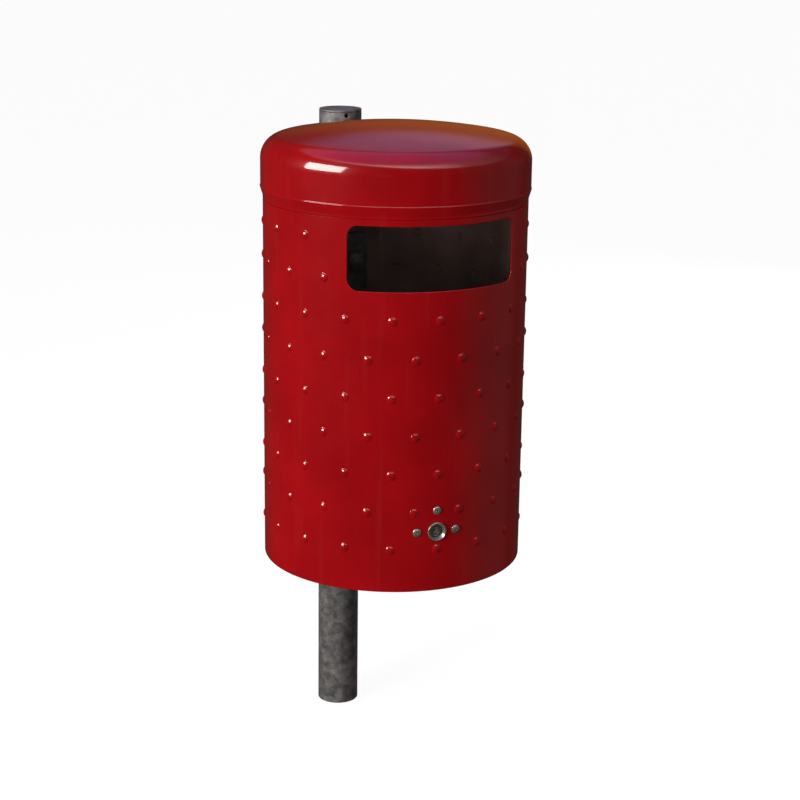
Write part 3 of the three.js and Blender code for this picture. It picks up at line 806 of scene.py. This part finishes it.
def shell_holes():
    """The lock's hole, the slot, and the rivets' and bolts' holes, as flat loops."""

    def wall_hole(angle, height, radius):
        return disc_points((radians(on_seam(angle)) * SHELL_RADIUS, height), radius, 24)

    half = radians(SLOT_HALF_ANGLE) * SHELL_RADIUS
    slot = rectangle(-half, half, SLOT_LOW, SLOT_HIGH, SLOT_CORNER, steps=9)
    slot = with_stations(slot, np.linspace(-half, half, 27)[2:-2])
    holes = [wall_hole(0, LOCK_HEIGHT, LOCK_BARREL + GAP), np.array(slot)]
    holes += [wall_hole(angle, height, RIVET_HOLE) for _, angle, height in lock_rivet_places()]
    holes += [wall_hole(180, z, M8["hole"]) for z in BRACKET_HEIGHTS.values()]
    return holes


def nub_rings(nubs):
    """Flat points in rings over each nub, closest together where its foot curves."""
    rings = [nubs]
    for share in (0.16, 0.34, 0.52, 0.68, 0.80, 0.87, 0.92, 0.96, 1.0):
        count = 10 if share < 0.3 else 20
        for index, centre in enumerate(nubs):
            rings.append(disc_points(centre, NUB["reach"] * share, count, pi / count * (index % 2)))
    return rings


def shell():
    nubs = nub_places()

    def place(u, v, depth):
        near = np.full(len(u), 1e3)
        for nub_u, nub_v in nubs:
            near = np.minimum(near, np.hypot(u - nub_u, v - nub_v))
        r = SHELL_RADIUS + nub_height(near) - SWAGE * smooth_step((v - SHOULDER) / SWAGE_TALL) - depth
        a = u / SHELL_RADIUS
        return np.column_stack((r * np.sin(a), -r * np.cos(a), v))

    holes = shell_holes()
    columns = np.radians(np.arange(SEAM - 360, SEAM + 0.1, 3)) * SHELL_RADIUS
    swage_rows = SHOULDER + SWAGE_TALL * np.linspace(-0.2, 1.2, 10)
    rows = np.concatenate((np.linspace(0, 396, 34), swage_rows, [418, 430, SHELL_TOP]))
    grid = crossings(columns[1:-1], rows[1:-1])
    keep = clear_of(grid, holes, 2.0)
    for nub_u, nub_v in nubs:
        keep &= np.hypot(grid[:, 0] - nub_u, grid[:, 1] - nub_v) > NUB["reach"] + 1.6
    extra = np.vstack([grid[keep], *nub_rings(nubs)])
    make("shell", sheet_solid((columns, rows), holes, extra, SHELL_SHEET, SHELL_SHEET / 2, place, wrap=True),
         second=INSIDE_GRIME_AND_SHADE)


# ---------- lid ----------
def crown_slope(skirt):
    """The crown's slope in radians where it meets the fillet, found by repeated correction."""
    slope = 0.1
    for _ in range(40):
        reach = skirt - LID_FILLET * (1 - sin(slope))
        slope *= LID_CROWN / (reach * tan(slope / 2))
    return slope


def lid():
    """A shallow crown that runs into a round shoulder, a skirt that ends in a raised crease, and a neck
    that closes onto the shell."""
    skirt = LID_RADIUS - CREASE["rise"]
    slope = crown_slope(skirt)
    ball = (skirt - LID_FILLET * (1 - sin(slope))) / sin(slope)
    fillet_r, fillet_z = skirt - LID_FILLET, LID_TOP - LID_CROWN - LID_FILLET * cos(slope)
    steps = 16

    def outline(offset):
        crown = [slope * i / steps for i in range(steps + 1)]
        fillet = [slope + (pi / 2 - slope) * i / steps for i in range(1, steps + 1)]
        r, bend = ball - offset, LID_FILLET - offset
        made = [(r * sin(a), LID_TOP - ball + r * cos(a)) for a in crown]
        return made + [(fillet_r + bend * sin(a), fillet_z + bend * cos(a)) for a in fillet]

    foot, inside_foot = SHELL_RADIUS, SHELL_RADIUS - LID_SHEET
    outer_side = [(skirt, fillet_z), (skirt, CREASE["starts"], 0.8), (LID_RADIUS, CREASE["crest"], 0.7),
                  (LID_RADIUS - 0.5, CREASE["neck"], 0.4), (foot, LID_EDGE + 3, 8), (foot, LID_EDGE, 0.25)]
    inner_side = [(inside_foot, LID_EDGE, 0.25), (inside_foot, LID_EDGE + 3.4, 8),
                  (skirt - LID_SHEET, CREASE["inside"], 3), (skirt - LID_SHEET, fillet_z)]
    turn_steps = 6
    outer = outline(0) + rounded(outer_side + inner_side, 1, closed=False, steps=turn_steps)[1:-1]
    first_inside = len(outer) - 2 * (turn_steps + 1) - 1
    profile = outer + outline(LID_SHEET)[::-1]
    make("lid", turned(profile, 160, finish=lambda i: int(i >= first_inside)), second=INSIDE_GRIME_AND_SHADE)


# ---------- fasteners ----------
def blind_rivet(grip):
    """Domed head above z 0 with its sunken mandrel, and the set end below the grip."""
    head, rise, body, mandrel = (RIVET[k] for k in ("head", "rise", "body", "mandrel"))
    dome = [(head * sin(a), GAP + (rise - GAP) * cos(a) ** 0.9) for a in np.radians(np.linspace(17, 90, 9))]
    profile = [(0, rise - 0.75), (mandrel - 0.25, rise - 0.75), (mandrel, rise - 0.5), (mandrel, rise - 0.1)]
    profile += dome + [(head - 0.1, GAP - 0.05), (body, GAP - 0.05)]
    set_end = [(body, 0), (body + 0.7, -1.4, 0.7), (body + 0.5, -4.2, 0.8), (1.3, -5.2, 0.4),
               (1.3, -6.2, 0.3), (0, -6.4)]
    profile += [(r, z - grip) for r, z in rounded(set_end, 0.4, closed=False)]
    return turned(profile, 32)


def rivets():
    along_floor = PAN_FLOOR - GAP - LEAF_SHEET
    wall_leaf = SHELL_RADIUS + LEAF_SHEET + GAP
    for i, angle in enumerate(LID_RIVETS["angles"]):
        at = outward(angle, LID_RIVETS["height"], LID_RADIUS)
        make(f"lid_rivet_{i + 1}", blind_rivet(LID_RIVETS["grip"]), at)
    for where, angle, height in lock_rivet_places():
        make(f"lock_rivet_{where}", blind_rivet(LOCK_RIVETS["grip"]), outward(angle, height, SHELL_RADIUS))
    for hand, x in (("left", -LEAF_RIVETS["across"]), ("right", LEAF_RIVETS["across"])):
        on_wall = pointing((0, 1, 0), (x, wall_leaf, LEAF_RIVETS["height"]))
        make(f"hinge_rivet_{hand}", blind_rivet(LEAF_RIVETS["wall_grip"]), on_wall)
        under_pan = pointing((0, 0, -1), (x, LEAF_RIVETS["out"], along_floor))
        make(f"flap_rivet_{hand}", blind_rivet(LEAF_RIVETS["pan_grip"]), under_pan)
    for which, x in zip(("near", "far"), STRIKE_RIVETS["across"]):
        at = pointing((0, 0, -1), (x, STRIKE_RIVETS["from_back"] - STRIKE["back"], PAN_FLOOR))
        make(f"strike_rivet_{which}", blind_rivet(STRIKE_RIVETS["grip"]), at)


def ear_level():
    """Where the faces of the hat brackets' ears stand, so that the mouth's corners rest on the post."""
    seat = POST_RADIUS + GAP
    return POST_Y - np.sqrt(seat**2 - (BRACKET_MOUTH / 2) ** 2)


def hex_bolt(length):
    """A bolt along Z with its head above z 0, a plain shank below it and a thread to -length."""
    head = hexagon(M8["across"], GAP, GAP + M8["head"], flange=0.4)
    radius, plain = M8["radius"], -M8["plain"]
    shank = turned([(0, plain), (radius, plain), (radius, GAP + 1), (0, GAP + 1)], 24)
    return together(head, shank, thread(radius, M8["pitch"], -length, plain + 0.5))


def hex_nut():
    return hexagon(M8["across"], 0, M8["nut"], bore=M8["radius"] + 0.05)


def wall_bolt():
    """A flat round cup head below z 0 that faces the bin's inside, and its thread above."""
    cup = rounded([(0, -4.6), (5, -4.3, 3), (8.6, -2.6, 3), (10, 0, 0.5), (0, 0)], 1, closed=False)
    shank = thread(M8["radius"], M8["pitch"], -WALL_BOLT_LENGTH, 0.5)
    return together(turned(cup, 48), shank.moved(Matrix.Rotation(pi, 4, "X")))


def bolts():
    head_seat = ear_level() + GAP + BRACKET_SHEET
    nut_seat = ear_level() - BRACKET_SHEET - GAP - M8["nut"]
    inner_seat = SHELL_RADIUS - SHELL_SHEET - BACKING["sheet"] - 3 * GAP
    outer_seat = SHELL_RADIUS + 2 * GAP + BRACKET_SHEET
    for level, height in BRACKET_HEIGHTS.items():
        made = []
        for hand, x in (("left", -CLAMP_BOLT_ACROSS), ("right", CLAMP_BOLT_ACROSS)):
            made.append((f"clamp_bolt_{hand}", hex_bolt(CLAMP_BOLT_LENGTH), x, head_seat))
            made.append((f"clamp_nut_{hand}", hex_nut(), x, nut_seat))
        made += [("wall_bolt", wall_bolt(), 0, inner_seat), ("wall_nut", hex_nut(), 0, outer_seat)]
        for name, body, x, y in made:
            make(f"{level}_{name}", body, pointing((0, 1, 0), (x, y, height)))


# ---------- brackets and straps ----------
def hat_path():
    """The middle of the hat bracket's sheet, seen from above, from its left ear to its right."""
    bend, sheet = BRACKET_BEND, BRACKET_SHEET
    ear_y = ear_level() - sheet / 2
    web_y = SHELL_RADIUS + GAP + sheet / 2
    side_x = BRACKET_MOUTH / 2 + sheet / 2
    ear, side, web = BRACKET_EARS - side_x - bend, ear_y - web_y - 2 * bend, 2 * (side_x - bend)
    return Path((-BRACKET_EARS, ear_y), 0, (ear, 0), (bend, -90), (side, 0), (bend, 90), (web, 0),
                (bend, 90), (side, 0), (bend, -90), (ear, 0))


def strap_path():
    """The middle of the clamp strap's sheet, seen from above, round the back of the post."""
    bend, sheet = BRACKET_BEND, BRACKET_SHEET
    around = POST_RADIUS + GAP + sheet / 2
    strap_y = ear_level() + GAP + sheet / 2
    ear, rise = BRACKET_EARS - around - bend, POST_Y - strap_y - bend
    return Path((-BRACKET_EARS, strap_y), 0, (ear, 0), (bend, 90), (rise, 0), (around, -180),
                (rise, 0), (bend, 90), (ear, 0))


def brackets():
    inset = BRACKET_EARS - CLAMP_BOLT_ACROSS
    for level, height in BRACKET_HEIGHTS.items():
        low, high = height - BRACKET_TALL / 2, height + BRACKET_TALL / 2
        for name, path in (("hat_bracket", hat_path()), ("clamp_strap", strap_path())):
            centres = [inset, path.length - inset]
            if name == "hat_bracket":
                centres.append(path.length / 2)
            holes = [disc_points((u, height), M8["hole"], 24) for u in centres]
            outline = rectangle(0, path.length, low, high, 6)
            make(f"{level}_{name}", folded_sheet(path, outline, holes, BRACKET_SHEET, 0.6, (0, 1, 2)))


def curved_plate(plate, low, high, side, holes):
    """A plate that follows the inside of the wall, centred on the front (-1) or the rear (1)."""
    radius = SHELL_RADIUS - SHELL_SHEET - GAP
    half = radians(plate["half_angle"]) * radius
    outline = rectangle(-half, half, low, high, plate["corner"])
    stations = np.linspace(-half, half, 15)[1:-1]
    loop = np.array(with_stations(outline, stations))
    levels = np.linspace(low, high, 12)[1:-1]
    grid = crossings(stations, levels)
    grid = grid[clear_of(grid, holes, 1.2, loop)]

    def place(u, v, depth):
        r, a = radius - depth, u / radius
        return np.column_stack((r * np.sin(a) * -side, side * r * np.cos(a), v))

    return sheet_solid(loop, holes, grid, plate["sheet"], 0.5, place)


def inner_plates():
    holes = [disc_points((0, z), M8["hole"], 24) for z in BRACKET_HEIGHTS.values()]
    low, high = BRACKET_HEIGHTS["lower"] - BACKING["beyond"], BRACKET_HEIGHTS["upper"] + BACKING["beyond"]
    make("backing_strip", curved_plate(BACKING, low, high, 1, holes))

    radius = SHELL_RADIUS - SHELL_SHEET - GAP
    holes = [disc_points((0, LOCK_HEIGHT), LOCK_BARREL + GAP, 32)]
    holes += [disc_points((radians(a) * radius, z), RIVET_HOLE, 20) for _, a, z in lock_rivet_places()]
    low, high = LOCK_HEIGHT - LOCK_PLATE["below"], LOCK_HEIGHT + LOCK_PLATE["above"]
    make("lock_plate", curved_plate(LOCK_PLATE, low, high, -1, holes))


# ---------- bottom flap, hinge and strike ----------
def pan_holes():
    across = LEAF_RIVETS["across"]
    centres = [(-across, LEAF_RIVETS["out"]), (across, LEAF_RIVETS["out"])]
    centres += [(x, STRIKE_RIVETS["from_back"] - STRIKE["back"]) for x in STRIKE_RIVETS["across"]]
    holes = [disc_points(centre, RIVET_HOLE, 20) for centre in centres]
    drains = [(DRAIN["out"] * cos(a), DRAIN["out"] * sin(a)) for a in np.radians(DRAIN["angles"])]
    return holes + [disc_points(centre, DRAIN["radius"], 28) for centre in drains]


def flap_pan():
    """A flat pan with a raised ring and an upright rim, spun from one disc."""
    path = Path((0, PAN_FLOOR), 0, (PAN_RADIUS - PAN_CORNER, 0), (PAN_CORNER, 90), (PAN_RIM - PAN_CORNER, 0))

    def place(u, v, depth):
        along = np.hypot(u, v)
        r, z = path.at(along, depth)
        z = z + BEAD["rise"] * smooth_step(1 - np.abs(along - BEAD["radius"]) / BEAD["half"])
        share = r / np.maximum(along, 1e-9)
        return np.column_stack((u * share, v * share, z))

    outline, holes = disc_points((0, 0), path.length, 120), pan_holes()
    bead_rings = BEAD["radius"] + BEAD["half"] * np.linspace(-1, 1, 13)
    rings = [10, 25, 40, 55, 68, *bead_rings, 98, 110, 122, *path.bend_stations(12), path.length - 8]
    points = [np.zeros((1, 2))]
    for r in rings:
        points.append(disc_points((0, 0), r, 24 if r < 30 else 60 if r < 70 else 120))
    points = np.vstack(points)
    points = points[clear_of(points, holes, 0.9, outline)]
    body = sheet_solid(outline, holes, points, PAN_SHEET, PAN_SHEET / 2 - 0.05, place)
    make("flap_pan", body, second=INSIDE_GRIME_AND_SHADE)


def joggle(offset, radius):
    """The turn of each of two opposite bends that shift a sheet sideways, and how far they run."""
    turn = np.degrees(np.arccos(1 - offset / (2 * radius)))
    return turn, 2 * radius * sin(radians(turn))


def wall_leaf():
    """The leaf on the shell's rear wall, with a knuckle at each end of the pin."""
    above = 6.5
    wall_y = SHELL_RADIUS + GAP + LEAF_SHEET / 2
    turn, run = joggle(wall_y - HINGE_Y - CURL_RADIUS, LEAF_BEND)
    path = Path((wall_y, LEAF_TOP), -90, (LEAF_TOP - above, 0), (LEAF_BEND, -turn), (LEAF_BEND, turn),
                (above - run - HINGE_Z, 0), (CURL_RADIUS, -CURL_TURN))
    end, half, notch, notch_from = path.length, LEAF_HALF, KNUCKLE_HALF + GAP, LEAF_TOP - 1.2
    outline = rounded([(0, -half, LEAF_CORNER), (end, -half), (end, -notch), (notch_from, -notch, 2),
                       (notch_from, notch, 2), (end, notch), (end, half), (0, half, LEAF_CORNER)], 0.8)
    across = LEAF_RIVETS["across"]
    holes = [disc_points((LEAF_TOP - LEAF_RIVETS["height"], x), RIVET_HOLE, 20) for x in (-across, across)]
    make("hinge_fixed_leaf", folded_sheet(path, outline, holes, LEAF_SHEET, 0.4, (2, 0, 1)))


def flap_leaf():
    """The leaf under the pan, which narrows to the middle knuckle."""
    start, before_pin, wing = FLAP_LEAF["starts"], FLAP_LEAF["before_pin"], FLAP_LEAF["half"]
    leaf_z = PAN_FLOOR - GAP - LEAF_SHEET / 2
    turn, run = joggle(leaf_z - HINGE_Z - CURL_RADIUS, LEAF_BEND)
    path = Path((start, leaf_z), 0, (HINGE_Y - before_pin - run - start, 0), (LEAF_BEND, -turn),
                (LEAF_BEND, turn), (before_pin, 0), (CURL_RADIUS, -CURL_TURN))
    end, half, shoulder = path.length, KNUCKLE_HALF - GAP, FLAP_LEAF["shoulder"]
    outline = rounded([(0, -wing, LEAF_CORNER), (shoulder, -wing, LEAF_CORNER), (shoulder + 3, -half, 2),
                       (end, -half), (end, half), (shoulder + 3, half, 2), (shoulder, wing, LEAF_CORNER),
                       (0, wing, LEAF_CORNER)], 0.8)
    across = LEAF_RIVETS["across"]
    holes = [disc_points((LEAF_RIVETS["out"] - start, x), RIVET_HOLE, 20) for x in (-across, across)]
    make("hinge_flap_leaf", folded_sheet(path, outline, holes, LEAF_SHEET, 0.4, (2, 0, 1)))


def hinge_pin():
    half = LEAF_HALF + 1.5
    profile = [(0, -half), (PIN_RADIUS, -half, 0.8), (PIN_RADIUS, half, 0.8), (0, half)]
    pin = turned(rounded(profile, 0.5, closed=False), 32)
    make("hinge_pin", pin, pointing((1, 0, 0), (0, HINGE_Y, HINGE_Z)))


def strike():
    """A foot on the pan's floor, an upright, and a lip towards the lock."""
    sheet, bend = STRIKE["sheet"], 4.0
    base_z = PAN_FLOOR + PAN_SHEET + GAP + sheet / 2
    upright_y, lip_z = -STRIKE["back"] - sheet / 2, STRIKE["lip"] + sheet / 2
    base = STRIKE["foot"] - STRIKE["back"] - upright_y - bend
    tip = upright_y + STRIKE["front"] - bend
    path = Path((STRIKE["foot"] - STRIKE["back"], base_z), 180, (base, 0), (bend, -90),
                (lip_z - base_z - 2 * bend, 0), (bend, 90), (tip, 0))
    outline = rectangle(0, path.length, STRIKE["near"], STRIKE["far"], 3)
    hole_u = STRIKE["foot"] - STRIKE_RIVETS["from_back"]
    holes = [disc_points((hole_u, x), RIVET_HOLE, 20) for x in STRIKE_RIVETS["across"]]
    make("strike", folded_sheet(path, outline, holes, sheet, 0.5, (2, 0, 1)))


# ---------- lock ----------
def prism(outline, low, high, chamfer):
    """An upright body on a convex outline, its top edge chamfered."""
    loop = np.array(outline)
    centre = loop.mean(axis=0)
    shrink = 1 - chamfer / np.linalg.norm(loop - centre, axis=1).min()
    top = centre + (loop - centre) * shrink
    levels = ((loop, low), (loop, high - chamfer), (top, high))
    return stacked([np.column_stack((ring, np.full(len(loop), z))) for ring, z in levels])


def regular(sides, reach, turn, corner):
    """The outline of a regular polygon with rounded corners."""
    return rounded([tuple(p) for p in disc_points((0, 0), reach, sides, turn)], corner, steps=4)


def lock_housing(at):
    """A dished face, a barrel through the wall and a bearing for the spindle."""
    bore, bearing, head = LOCK_BORE + GAP, LOCK_STEM + 0.05, LOCK_HEAD
    face, end, step = LOCK["face"], LOCK["barrel"], LOCK["bore"]
    profile = rounded([(bore, step + 2), (bore, LOCK["dish"], 0.5), (head - 1, face, 0.3),
                       (head, face - 0.5, 0.35), (head, GAP, 0.1), (LOCK_BARREL, GAP),
                       (LOCK_BARREL, end, 0.6), (bearing, end), (bearing, step), (bore, step, 0.2)],
                      0.3, steps=4)
    make("lock_housing", turned(profile, 96, closed=True), at)


def lock_spindle(at):
    """A round seat with a triangular drive on it, a stem and a square end."""
    under, top = LOCK["bore"] + 0.3, LOCK["seat"]
    seat = rounded([(0, under), (LOCK_BORE, under), (LOCK_BORE, top, 0.3), (0, top)], 0.3, closed=False)
    drive = prism(regular(3, 5.2, radians(90), 0.9), top - 0.2, LOCK["drive"], 0.5)
    end, into_seat = LOCK["stem"], under + 0.5
    stem = turned([(0, end), (LOCK_STEM, end), (LOCK_STEM, into_seat), (0, into_seat)], 40)
    square = prism(regular(4, 4.4, radians(45), 0.4), LOCK["square"], end + 0.6, 0.01)
    make("lock_spindle", together(turned(seat, 64), drive, stem, square), at)


def lock_cam(at):
    half, reach, low, sheet = CAM["half"], CAM["reach"], CAM["low"], CAM["sheet"]
    tip = 4 - reach
    outline = rounded([(-half, half), (half, half), (half, tip, 4), (half - 4, -reach, 4),
                       (-half + 4, -reach, 4), (-half, tip, 4)], 3.5, steps=5)
    hole = np.array(regular(4, CAM["hole"], radians(45), 0.5))

    def flat(u, v, depth):
        return np.column_stack((u, v, low + sheet - depth))

    make("lock_cam", sheet_solid(outline, [hole], np.array([(0, -18.0)]), sheet, 0.5, flat), at)


def cam_screw(at):
    """A button head with a round recess, and its shank."""
    seat, face = LOCK["square"] - 0.3, LOCK["square"] - 4.0
    floor_z, rim = face + 1.2, 4.8
    profile = [(0, floor_z), (2.2, floor_z), (2.2, face, 0.2), (3.6, face, 0.8), (rim, floor_z, 0.6),
               (rim, seat, 0.2), (1.7, seat), (1.7, -18), (0, -18)]
    make("cam_screw", turned(rounded(profile, 0.2, closed=False), 40), at)


def lock():
    at = outward(0, LOCK_HEIGHT, SHELL_RADIUS)
    lock_housing(at)
    lock_spindle(at)
    nut = hexagon(LOCK_NUT["across"], LOCK_NUT["low"], LOCK_NUT["high"], bore=LOCK_BARREL + 0.1)
    make("lock_nut", nut, at)
    lock_cam(at)
    cam_screw(at)


# ---------- studio and camera ----------
def direction(azimuth, elevation):
    """Azimuth 0 is the bin's front and 90 its right-hand side, +X."""
    a, e = radians(azimuth), radians(elevation)
    return Vector((sin(a) * cos(e), -cos(a) * cos(e), sin(e)))


def blended(tree, amount, first, second, output_kind):
    """Ends the tree with a mix of two shaders."""
    mix = add(tree, "ShaderNodeMixShader", {0: amount, 1: first.outputs[0], 2: second.outputs[0]})
    add(tree, output_kind, {"Surface": mix.outputs[0]})


def floor():
    """A wide pale floor. It shows a soft shadow and throws no light back onto the bin."""
    half, z = FLOOR["half"], -FLOOR["below"]
    mesh = bpy.data.meshes.new("floor")
    corners = [(-half, -half, z), (half, -half, z), (half, half, z), (-half, half, z)]
    mesh.from_pydata(corners, [], [(0, 1, 2, 3)])
    material = bpy.data.materials.new("pale_floor")
    material.use_nodes = True
    tree = material.node_tree
    tree.nodes.clear()
    paint = add(tree, "ShaderNodeBsdfDiffuse", {"Color": FLOOR["paint"]})
    glow = add(tree, "ShaderNodeEmission", {"Color": (1, 1, 1, 1), "Strength": FLOOR["glow"]})
    blended(tree, FLOOR["glow_share"], paint, glow, "ShaderNodeOutputMaterial")
    mesh.materials.append(material)
    obj = linked("floor", mesh)
    obj.visible_diffuse = False
    obj.visible_glossy = False


def aimed(name, data, place, way, roll=0.0):
    """A light or camera at a place that looks along the way."""
    made = linked(name, data)
    made.location = place
    made.rotation_mode = "QUATERNION"
    made.rotation_quaternion = way.to_track_quat("-Z", "Y") @ Quaternion((0, 0, 1), radians(roll))
    return made


def area_light(name, place, way, size, power, colour, left_out, shape="RECTANGLE"):
    """An area light that the camera doesn't see, left out of the diffuse or the glossy rays."""
    data = bpy.data.lights.new(name, "AREA")
    data.shape = shape
    data.size, data.size_y = size
    data.energy = power
    data.color = colour
    light = aimed(name, data, place, way)
    light.visible_camera = False
    light.visible_diffuse = left_out != "diffuse"
    light.visible_glossy = left_out != "glossy"


def lights():
    """The soft boxes round the bin, and a faint light in its chamber so that the slot isn't a black hole."""
    for name, azimuth, elevation, distance, *rest in LIGHTS:
        way = direction(azimuth, elevation)
        area_light(name, LIGHT_TARGET + way * distance, -way, *rest)
    place = BIN_CENTRE * MM + Vector(CHAMBER["place"])
    area_light("chamber_fill", place, Vector(CHAMBER["way"]), CHAMBER["size"], CHAMBER["power"],
               (1, 1, 1), "glossy", "ELLIPSE")


def cosine_to(tree, way, azimuth, elevation):
    """The cosine between a ray's way and a direction."""
    inputs = {0: way, 1: tuple(direction(azimuth, elevation))}
    return add(tree, "ShaderNodeVectorMath", inputs, operation="DOT_PRODUCT").outputs["Value"]


def smooth(tree, value, low, high):
    inputs = {"Value": value, "From Min": low, "From Max": high}
    return add(tree, "ShaderNodeMapRange", inputs, interpolation_type="SMOOTHSTEP").outputs["Result"]


def ceiling_light(tree, way, height, glossy_ray):
    """A bright rim that fades from its brightest side to the far one, round a dimmer middle."""
    reach = CEILING["reach"]
    fac = spread(tree, cosine_to(tree, way, *CEILING["brightest"]), -reach, reach, 0, 1)
    ramp = add(tree, "ShaderNodeValToRGB", {"Fac": fac})
    marks = ramp.color_ramp.elements
    for place, _ in CEILING["rim"][1:-1]:
        marks.new(place)
    for mark, (place, colour) in zip(marks, CEILING["rim"]):
        mark.position = place
        mark.color = colour
    starts, fades = sin(radians(CEILING["starts"] + 4)), sin(radians(CEILING["fades"]))
    middle = colour_mix(tree, glossy_ray, CEILING["middle"], CEILING["sheen"])
    return colour_mix(tree, spread(tree, height, starts, fades, 0, 1), ramp.outputs["Color"], middle)


def surroundings():
    """Pale to the camera. To the bin: a dark ring of walls, a broad bright ceiling that starts at about
    40 degrees up and is brightest towards the front, and faint glows low behind and beside it."""
    world = bpy.data.worlds.new("studio")
    bpy.context.scene.world = world
    world.use_nodes = True
    tree = world.node_tree
    tree.nodes.clear()
    way = tree.nodes.new("ShaderNodeTexCoord").outputs["Generated"]
    parts = add(tree, "ShaderNodeSeparateXYZ", {"Vector": way}).outputs
    ray = tree.nodes.new("ShaderNodeLightPath").outputs
    ceiling = ceiling_light(tree, way, parts["Z"], ray["Is Glossy Ray"])
    inputs = {0: parts["X"], 1: CEILING["tilt"], 2: parts["Z"]}
    tilted = add(tree, "ShaderNodeMath", inputs, operation="MULTIPLY_ADD").outputs["Value"]
    low, high = (sin(radians(CEILING["starts"] + side * CEILING["blend"])) for side in (-1, 1))
    light = colour_mix(tree, smooth(tree, tilted, low, high), CEILING["walls"], ceiling)
    for (azimuth, elevation), inner, outer, colour in GLOWS:
        facing = cosine_to(tree, way, azimuth, elevation)
        amount = smooth(tree, facing, cos(radians(outer)), cos(radians(inner)))
        light = colour_mix(tree, amount, light, colour, "ADD")
    around = add(tree, "ShaderNodeBackground", {"Color": light, "Strength": 1.0})
    seen = add(tree, "ShaderNodeBackground", {"Color": BACKDROP, "Strength": 1.0})
    blended(tree, ray["Is Camera Ray"], around, seen, "ShaderNodeOutputWorld")


def camera():
    data = bpy.data.cameras.new("camera")
    data.lens = CAMERA_LENS
    data.sensor_width = 36
    data.dof.use_dof = False
    way = CAMERA_TARGET - CAMERA_PLACE
    bpy.context.scene.camera = aimed("camera", data, CAMERA_PLACE, way, CAMERA_ROLL)


camera()
post_tube()
post_cap()
shell()
lid()
rivets()
bolts()
brackets()
inner_plates()
flap_pan()
wall_leaf()
flap_leaf()
hinge_pin()
strike()
lock()
floor()
surroundings()
lights()
bpy.context.scene.view_settings.view_transform = "Standard"
